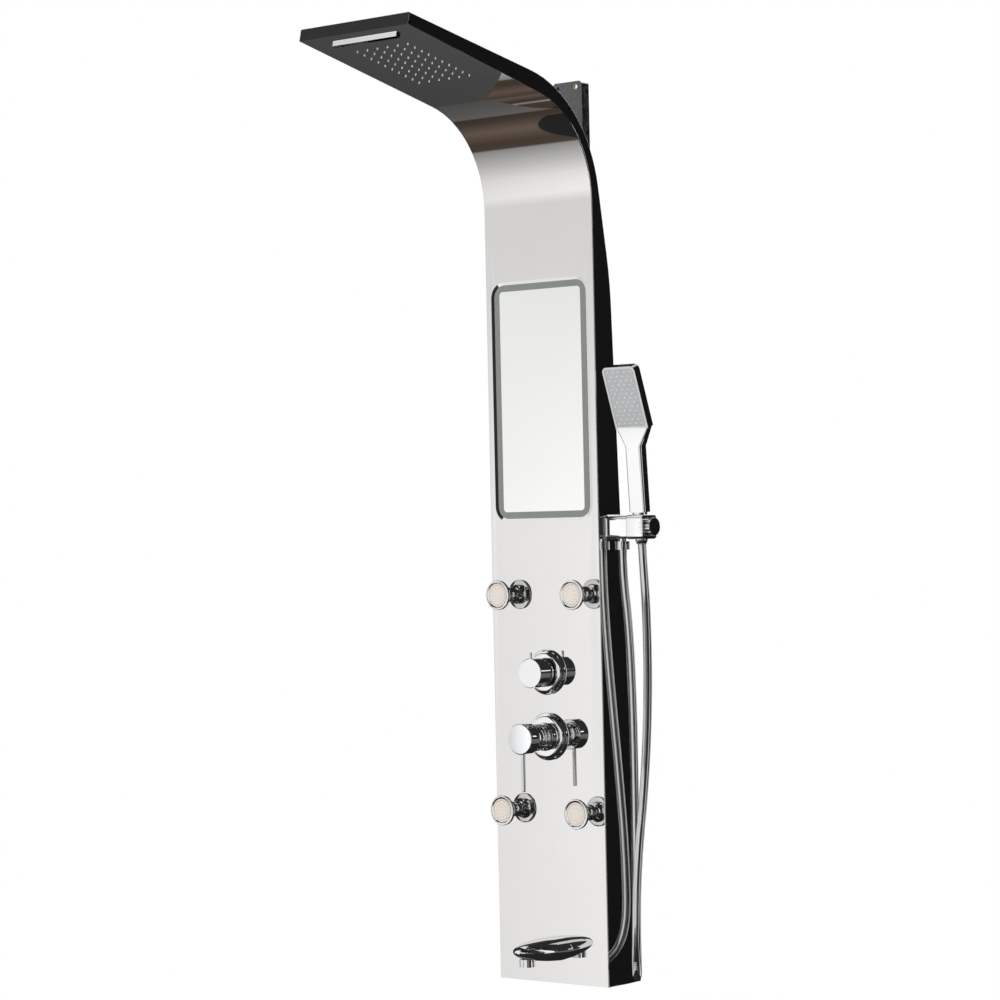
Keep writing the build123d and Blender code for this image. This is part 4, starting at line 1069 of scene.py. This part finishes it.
@dataclass(frozen=True)
class SquaredDressing(Dressing):
    """A turned node of the holder, pressed out to flat faces with round corners."""

    radius: float = 18.0
    corner: float = 0.3
    skin_share: float = 0.93

    def reach(self, turn: float) -> float:
        """How far the flat-faced skin reaches at an angle, for a radius of one."""
        small, big = sorted((abs(math.cos(turn)), abs(math.sin(turn))))
        straight = 1 - self.corner
        if small <= big * straight:
            return 1 / big
        along = straight * (big + small)
        return along + math.sqrt(along**2 - 2 * straight**2 + self.corner**2)

    def merged(self) -> bmesh.types.BMesh:
        """The node's mesh with its outer skin pressed out."""
        form = super().merged()
        axis = place(0, HOLDER_DEPTH, HOLDER_HEIGHT)
        for vertex in form.verts:
            side, up = vertex.co.y - axis.y, vertex.co.z - axis.z
            if math.hypot(side, up) > self.radius * self.skin_share * MM:
                grow = self.reach(math.atan2(up, side))
                vertex.co.y = axis.y + side * grow
                vertex.co.z = axis.z + up * grow
        return form


class HandShowerHolder(SubAssembly):
    """The outlet arm, its hose nut, the turning cradle and its clamp knob."""

    dressings = (
        SquaredDressing("outlet_arm", "holder_arm"),
        SquaredDressing("handset_cradle", "holder_cradle", radius=19.0),
    ) + dressed(
        Edge.CRISP,
        outlet_nipple="hose_outlet_nipple",
        outlet_nut="hose_fluted_nut",
        clamp_knob="holder_clamp_knob",
    )


@dataclass
class HandShower(SubAssembly):
    """The flat hand shower: chrome body, grey spray face, white nozzles and hose cone."""

    columns: int = 5
    full_rows: int = 7
    pitch_across: float = 11.0
    pitch_along: float = 7.0
    nub_radius: float = 1.1
    nub_tip: float = 0.8
    nub_reach: float = 0.8
    grip_x: float = 167.0
    handle_lean: float = 4.0
    head_lean: float = 20.0
    neck_end: float = 156.0
    half_thickness: float = 7.0
    half_length: float = 50.5

    dressings = (
        Dressing("handset_body", "hand_shower_body", Edge.ROUNDED),
        Dressing("handset_face", "hand_shower_face", Edge.EASED),
        Dressing("hose_cone", "hose_cone_end"),
    )

    def face_frame(self) -> Matrix:
        """The frame on the middle of the spray face."""
        handle_lean = math.radians(self.handle_lean)
        head_lean = math.radians(self.head_lean)
        along_handle = Vector((0, -math.sin(handle_lean), math.cos(handle_lean)))
        along_head = Vector((0, -math.sin(head_lean), math.cos(head_lean)))
        out = Vector((0, -math.cos(head_lean), -math.sin(head_lean)))
        middle = place(self.grip_x, HOLDER_DEPTH, HOLDER_HEIGHT) + along_handle * self.neck_end * MM
        middle += (out * self.half_thickness + along_head * self.half_length) * MM
        return plane_matrix(middle, RIGHT, out)

    def add_forms(self) -> None:
        """Sets out the staggered nozzles on the spray face."""
        tree = NubTrees.grid()
        whole = bmesh.new()
        for columns, rows in ((self.columns, self.full_rows), (self.columns - 1, self.full_rows - 1)):
            layout = {
                "Columns": columns,
                "Rows": rows,
                "Pitch Across": self.pitch_across * MM,
                "Pitch Along": 2 * self.pitch_along * MM,
            }
            sizes = NubTrees.sizes(self.nub_radius, self.nub_tip, self.nub_reach, "soft_white", layout)
            whole.from_mesh(grown(tree, "spray_row_set", sizes))
        mesh = mesh_of(whole, "hand_shower_nozzles")
        mesh.transform(self.face_frame())
        clad(smoothed(mesh, NUB_CREASE), "soft_white", "handset", ("handset_nozzles",))


class Pipework(SubAssembly):
    """Pipes, elbows, nuts and threaded inlets inside the column."""

    thread_pitch = 1.8
    thread_depth = 0.55
    thread_margin = 3.0

    dressings = dressed(
        Edge.CRISP,
        inlet_nipples="threaded_inlets",
        thread_locknuts="jet_locknuts",
        valve_locknuts="valve_locknut_pair",
        pipe_elbows="brass_elbows",
        jet_pipes="jet_feed_pipes",
        mixer_riser="mixer_riser_pipe",
        spout_pipe="spout_feed_pipe",
        handset_pipe="handset_feed_pipe",
        head_pipes="head_feed_pipes",
    )

    def add_forms(self) -> None:
        """Winds a thread round each supply inlet."""
        low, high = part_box("inlet_nipples")
        radius = (high.z - low.z) / 2
        length = high.y - low.y - self.thread_margin * MM
        tree = thread_tree()
        sizes = {
            "Radius": radius,
            "Turns": length / (self.thread_pitch * MM),
            "Length": length,
            "Depth": self.thread_depth * MM,
            "Material": Palette.of("raw_brass"),
        }
        for side, x in (("left", low.x + radius), ("right", high.x - radius)):
            mesh = grown(tree, f"inlet_thread_{side}", sizes)
            start = Vector((x, low.y + self.thread_margin / 2 * MM, low.z + radius))
            mesh.transform(plane_matrix(start, RIGHT, Vector((0, 1, 0))))
            clad(mesh, "raw_brass", "column")


@dataclass
class ShowerHose:
    """The ribbed metal hose, in three lengths along one line; only the first is handed to a body, the
    column.
    """

    diameter: float = 14.0
    valley_diameter: float = 12.4
    pitch: float = 3.2
    sides: int = 18
    grip_share: float = 0.935
    swing_share: float = 0.66
    line_order: int = 3
    line_steps: int = 24

    route: tuple[Point, ...] = (
        (130.0, 34.0, 684.0),
        (130.0, 34.0, 640.0),
        (133.0, 41.0, 575.0),
        (131.5, 49.0, 470.0),
        (125.5, 58.0, 330.0),
        (119.8, 63.0, 195.0),
        (120.0, 62.0, 70.0),
        (147.2, 25.7, 24.6),
        (185.7, -25.7, 24.6),
        (213.0, -62.0, 70.0),
        (214.0, -57.0, 200.0),
        (214.0, -30.0, 340.0),
        (197.0, 4.0, 470.0),
        (175.0, 33.0, 585.0),
        (167.0, 39.3, 643.2),
        (167.0, 35.81, 693.06),
    )

    def line(self) -> list[Vector]:
        """Points of the smooth line that the route steers."""
        curve = bpy.data.curves.new("hose_line", "CURVE")
        curve.dimensions = "3D"
        spline = curve.splines.new("NURBS")
        spline.points.add(len(self.route) - 1)
        for point, spot in zip(spline.points, self.route):
            point.co = (*place(*spot), 1.0)
        spline.order_u = self.line_order
        spline.use_endpoint_u = True
        spline.resolution_u = self.line_steps
        carrier = add_object("hose_line", curve)
        bpy.context.view_layer.update()
        mesh = bpy.data.meshes.new_from_object(carrier)
        points = [vertex.co.copy() for vertex in mesh.vertices]
        bpy.data.objects.remove(carrier)
        return points

    def tube(
        self, name: str, tree: bpy.types.GeometryNodeTree, points: list[Vector]
    ) -> bpy.types.Object:
        """Makes one ribbed length.

        Args:
            name: The piece's name.
            tree: The ribbed hose tree.
            points: The line that it follows.

        Returns:
            The piece, not yet on a body.
        """
        seed = bpy.data.meshes.new(name + "_line")
        seed.from_pydata(points, [(i, i + 1) for i in range(len(points) - 1)], [])
        sizes = {
            "Pitch": self.pitch * MM,
            "Crest Radius": self.diameter / 2 * MM,
            "Valley Radius": self.valley_diameter / 2 * MM,
            "Sides": self.sides,
            "Material": Palette.of("hose_metal"),
        }
        mesh = smoothed(grown(tree, name, sizes, seed), MADE_CREASE)
        return add_object(name, mesh)

    @staticmethod
    def length(points: list[Vector]) -> float:
        """The length of a line of points."""
        return sum((b - a).length for a, b in zip(points, points[1:]))

    def build(self) -> None:
        points = self.line()
        whole = self.length(points)
        reached, swing_at, grip_at = 0.0, 0, 0
        for index, (a, b) in enumerate(zip(points, points[1:])):
            reached += (b - a).length
            if reached < whole * self.swing_share:
                swing_at = index + 1
            if reached < whole * self.grip_share:
                grip_at = index + 1
        tree = ribbed_tree()
        spans = (
            ("hose_outlet_length", points[: swing_at + 1]),
            ("hose_swing_length", points[swing_at : grip_at + 1]),
            ("hose_grip_length", points[grip_at:]),
        )
        pieces = [self.tube(name, tree, span) for name, span in spans]
        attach(pieces[0], "column")
        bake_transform(pieces[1])
        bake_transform(pieces[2])
        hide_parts("shower_hose")
        for piece, (name, span) in zip(pieces, spans):
            self.length(span)
            log.info("%s, %.0f mm", name, self.length(span) / MM)


@dataclass(frozen=True)
class Tone:
    """One stop of a studio ramp: an angle in degrees and the light that comes from there."""

    angle: float
    light: Colour


def greys(*stops: tuple[float, float]) -> tuple[Tone, ...]:
    """Grey stops of a studio ramp, each from an angle and a level."""
    return tuple(Tone(angle, (level, level, level)) for angle, level in stops)


@dataclass(frozen=True)
class Card:
    """A plain card for the metal to mirror, with its middle and the point that it faces."""

    name: str
    middle: Point
    toward: Point
    size: tuple[float, float]
    light: float

    def corners(self) -> list[Vector]:
        """The card's four corners."""
        out = Vector(self.toward) - Vector(self.middle)
        turned = plane_matrix(Vector(self.middle), Vector((0, 0, 1)).cross(out), out)
        signs = ((-1, -1), (1, -1), (1, 1), (-1, 1))
        return [turned @ Vector((self.size[0] / 2 * a, self.size[1] / 2 * b, 0)) for a, b in signs]


@dataclass
class Studio:
    """Camera, pale floor, soft lights and the cards that the polished metal mirrors."""

    sensor: float = 36.0
    lens: float = 110.92
    sight: float = 100.0
    camera_spot: Point = (3.0783, -3.8845, -0.7156)
    camera_turn: Point = (0.694778, 0.010974, -0.021691)
    lamp_aim: Point = (0, -0.1, -0.7)
    floor_drop: float = 450.0
    floor_size: float = 2.7
    floor_sides: int = 96
    floor_mottle: tuple[float, float] = (3.0, 3.0)
    floor_tones: tuple[Colour, Colour] = ((0.88, 0.88, 0.87), (0.91, 0.91, 0.9))
    floor_roughness: float = 0.8
    floor_glow: float = 0.6
    sweep_radius: float = 8.0
    sweep_centre: tuple[float, float] = (-0.2, -0.15)
    sweep_start: float = -42.0
    sweep_stop: float = 205.0
    sweep_steps: int = 96
    fade_x: tuple[float, float] = (-7.9, -5.2)
    fade_z: tuple[float, float] = (-1.0, 0.4)
    fade: float = 0.21
    room_light: float = 0.85
    ceiling: tuple[float, float] = (56.0, 64.0)
    ceiling_light: float = 0.03

    # The bearings run from the panel's front towards the right.
    surround: tuple[Tone, ...] = greys(
        (-180, 1.0), (-160, 0.9), (-152, 0.04), (-90, 0.03), (-84, 1.0), (-47, 1.0), (-41, 0.03),
        (96, 0.03), (100, 0.95), (116, 0.95), (120, 0.04), (152, 0.04), (160, 0.9), (180, 1.0),
    )

    # The sweep's angles run down from the horizon in front, under the head and up behind it.
    tones: tuple[Tone, ...] = (
        *greys((-40, 0.04), (-24, 0.05), (-21, 0.95), (-13, 0.95), (-10, 0.74), (-5, 0.8), (4, 0.97)),
        *greys((15, 0.93), (25, 0.84), (40, 0.57), (59, 0.3)),
        Tone(61, (0.07, 0.057, 0.048)),
        Tone(69, (0.072, 0.05, 0.038)),
        Tone(84, (0.145, 0.108, 0.09)),
        Tone(98, (0.068, 0.05, 0.041)),
        Tone(106, (0.047, 0.036, 0.03)),
        Tone(108, (0.14, 0.125, 0.118)),
        Tone(117, (0.112, 0.11, 0.108)),
        *greys((141, 0.085), (144, 0.06), (200, 0.02)),
    )

    cards: tuple[Card, ...] = (
        Card("dark_ground", (-0.2, -0.75, -1.85), (-0.2, -0.6, 0.0), (2.4, 1.7), 0.02),
        Card("dark_flag", (1.35, 1.55, -0.6), (0.11, 0.0, -0.6), (2.2, 4.2), 0.008),
        Card("spout_light", (-0.185, -0.8, -0.86), (0.055, -0.1, -1.36), (0.17, 0.4), 0.75),
        Card("front_card", (0.525, -7.0, -0.7), (0.525, 0.0, -0.7), (6.7, 4.5), 0.8),
        Card("catch_light", (3.7, -4.5, 0.1), (0.0, 0.0, -0.7), (0.4, 0.5), 1.6),
    )

    def camera(self) -> None:
        """Stands the camera at the photograph's place and angle."""
        data = bpy.data.cameras.new("camera")
        data.sensor_width = self.sensor
        data.lens = self.lens
        data.clip_end = self.sight
        camera = add_object("camera", data)
        yaw, pitch, roll = self.camera_turn
        level = Vector((math.cos(yaw), math.sin(yaw), 0))
        ahead = Vector((-math.sin(yaw), math.cos(yaw), 0))
        forward = ahead * math.cos(pitch) + Vector((0, 0, math.sin(pitch)))
        upright = level.cross(forward)
        right = math.cos(roll) * level + math.sin(roll) * upright
        up = math.cos(roll) * upright - math.sin(roll) * level
        turned = Matrix((right, up, -forward)).transposed()
        camera.matrix_world = Matrix.Translation(self.camera_spot) @ turned.to_4x4()
        bpy.context.scene.camera = camera

    def world(self) -> None:
        """Makes the surround: white to the eye, even for diffuse light, in sectors for the metal."""
        world = bpy.data.worlds.new("studio")
        bpy.context.scene.world = world
        world.use_nodes = True
        wiring = Wiring(world.node_tree)
        wiring.tree.nodes.clear()
        path = wiring.add("LightPath").outputs
        way = wiring.add("SeparateXYZ", Vector=wiring.add("TexCoord").outputs["Generated"]).outputs
        bearing = wiring.math("ARCTAN2", way["X"], wiring.math("MULTIPLY", way["Y"], -1.0))
        turn = wiring.spread(bearing, (-math.pi, math.pi), (0.0, 1.0))
        sector = wiring.ramp(turn, [(tone.angle / 360 + 0.5, tone.light) for tone in self.surround])
        edge = tuple(math.sin(math.radians(angle)) for angle in self.ceiling)
        overhead = wiring.spread(way["Z"], edge, (1.0, self.ceiling_light))
        mirrored = wiring.math("MULTIPLY", sector, overhead)
        glossy = path["Is Glossy Ray"]
        seen = wiring.math("MAXIMUM", path["Is Camera Ray"], path["Is Transmission Ray"])
        rest = wiring.math("SUBTRACT", 1.0, wiring.math("MAXIMUM", seen, glossy))
        room = wiring.math("MULTIPLY", rest, self.room_light)
        light = wiring.math("ADD", wiring.math("MULTIPLY", glossy, mirrored), room)
        strength = wiring.math("ADD", seen, light)
        background = wiring.add("Background", Color=(1, 1, 1, 1), Strength=strength)
        wiring.add("OutputWorld", Surface=background.outputs[0])

    @staticmethod
    def hang(name: str, corners: list, faces: list, material: bpy.types.Material) -> None:
        """Hangs up a glowing card that shows to mirrored light alone."""
        mesh = bpy.data.meshes.new(name)
        mesh.from_pydata(corners, [], faces)
        mesh.materials.append(material)
        card = add_object(name, mesh)
        for ray in ("camera", "diffuse", "shadow", "transmission", "volume_scatter"):
            setattr(card, "visible_" + ray, False)

    def sweep_material(self, share: float) -> bpy.types.Material:
        """The sweep's tones, by the angle round the bend's middle, times a share."""
        shader = Shader("sweep_tones")
        spot = shader.add("SeparateXYZ", Vector=shader.coordinates).outputs
        ahead = shader.math("SUBTRACT", self.sweep_centre[0], spot["Y"])
        below = shader.math("SUBTRACT", self.sweep_centre[1], spot["Z"])
        start, stop = math.radians(self.sweep_start), math.radians(self.sweep_stop)
        angle = shader.math("WRAP", shader.math("ARCTAN2", below, ahead), start + 2 * math.pi, start)
        whole = self.sweep_stop - self.sweep_start
        stops = [((tone.angle - self.sweep_start) / whole, tone.light) for tone in self.tones]
        colour = shader.ramp(shader.spread(angle, (start, stop), (0, 1)), stops)
        lean = shader.spread(spot["X"], self.fade_x, (-self.fade, self.fade))
        low = shader.spread(spot["Z"], self.fade_z, (1.0, 0.0))
        strength = shader.math("ADD", 1.0, shader.math("MULTIPLY", lean, low))
        return shader.glow(Color=colour, Strength=shader.math("MULTIPLY", strength, share))

    def sweep(
        self, name: str, sides: tuple[float, float], angles: tuple[float, float], share: float
    ) -> None:
        """Bends a card round the head at a distance.

        Args:
            name: The card's name.
            sides: Where its left and right edges stand.
            angles: Its first and last angle below the horizon in front, in degrees.
            share: How much of the tones' light it gives.
        """
        start, stop = angles
        corners = []
        for step in range(self.sweep_steps + 1):
            angle = math.radians(start + (stop - start) * step / self.sweep_steps)
            y = self.sweep_centre[0] - self.sweep_radius * math.cos(angle)
            z = self.sweep_centre[1] - self.sweep_radius * math.sin(angle)
            corners += [(x, y, z) for x in sides]
        faces = [(2 * i, 2 * i + 1, 2 * i + 3, 2 * i + 2) for i in range(self.sweep_steps)]
        self.hang(name, corners, faces, self.sweep_material(share))

    def floor(self) -> None:
        """Lays the pale floor, which stays as white as the surround but keeps the shadow."""
        height = place(0, 0, -self.floor_drop).z
        form = bmesh.new()
        bmesh.ops.create_circle(form, cap_ends=True, segments=self.floor_sides, radius=self.floor_size)
        bmesh.ops.translate(form, verts=form.verts, vec=(0, 0, height))
        mesh = mesh_of(form, "floor")
        coat = Coat("pale_floor")
        coat.tones(coat.noise(*self.floor_mottle), *self.floor_tones)
        coat.fix(Roughness=self.floor_roughness)
        seen = coat.add("LightPath").outputs["Is Camera Ray"]
        light = coat.math("MULTIPLY", seen, self.floor_glow)
        blend = coat.add("MixShader")
        mixed = (light, coat.surface.outputs["BSDF"], coat.add("Emission").outputs[0])
        for socket, value in zip(blend.inputs, mixed):
            coat.feed(socket, value)
        coat.show(blend)
        mesh.materials.append(coat.material)
        floor = add_object("floor", mesh)
        floor.visible_glossy = False

    def lamp(self, name: str, spot: Point, power: float, size: float) -> None:
        """Hangs a soft square lamp that faces the column."""
        data = bpy.data.lights.new(name, "AREA")
        data.energy = power
        data.size = size
        lamp = add_object(name, data)
        aim = (Vector(self.lamp_aim) - Vector(spot)).to_track_quat("-Z", "Y")
        lamp.matrix_world = Matrix.Translation(spot) @ aim.to_matrix().to_4x4()
        lamp.visible_glossy = False

    def build(self) -> None:
        """Sets up the whole studio."""
        self.camera()
        self.world()
        self.floor()
        self.sweep("sweep_left", (-15.0, -5.0), (-40.0, 200.0), 1.0)
        self.sweep("sweep_ground", (-5.0, 15.0), (10.0, 150.0), 0.15)
        for card in self.cards:
            glow = Shader(card.name + "_light").glow(Strength=card.light)
            self.hang(card.name, card.corners(), [(0, 1, 2, 3)], glow)
        self.lamp("key_lamp", (-2.4, -3.6, 1.4), 75.0, 2.2)
        self.lamp("fill_lamp", (3.2, -2.6, 0.6), 35.0, 2.0)
        bpy.context.scene.view_settings.view_transform = "Standard"


def main() -> None:
    """Builds the studio, the hose and every sub-assembly."""
    logging.basicConfig(level=logging.INFO, format="%(name)s: %(message)s")
    Studio().build()
    ShowerHose().build()
    groups = (
        PanelShell, WallFixings, MirrorPanel, BodyJets, Diverter, Mixer,
        BathSpout, RainHead, HandShowerHolder, HandShower, Pipework,
    )
    for group in groups:
        group().dress()


if __name__ == "__main__":
    main()
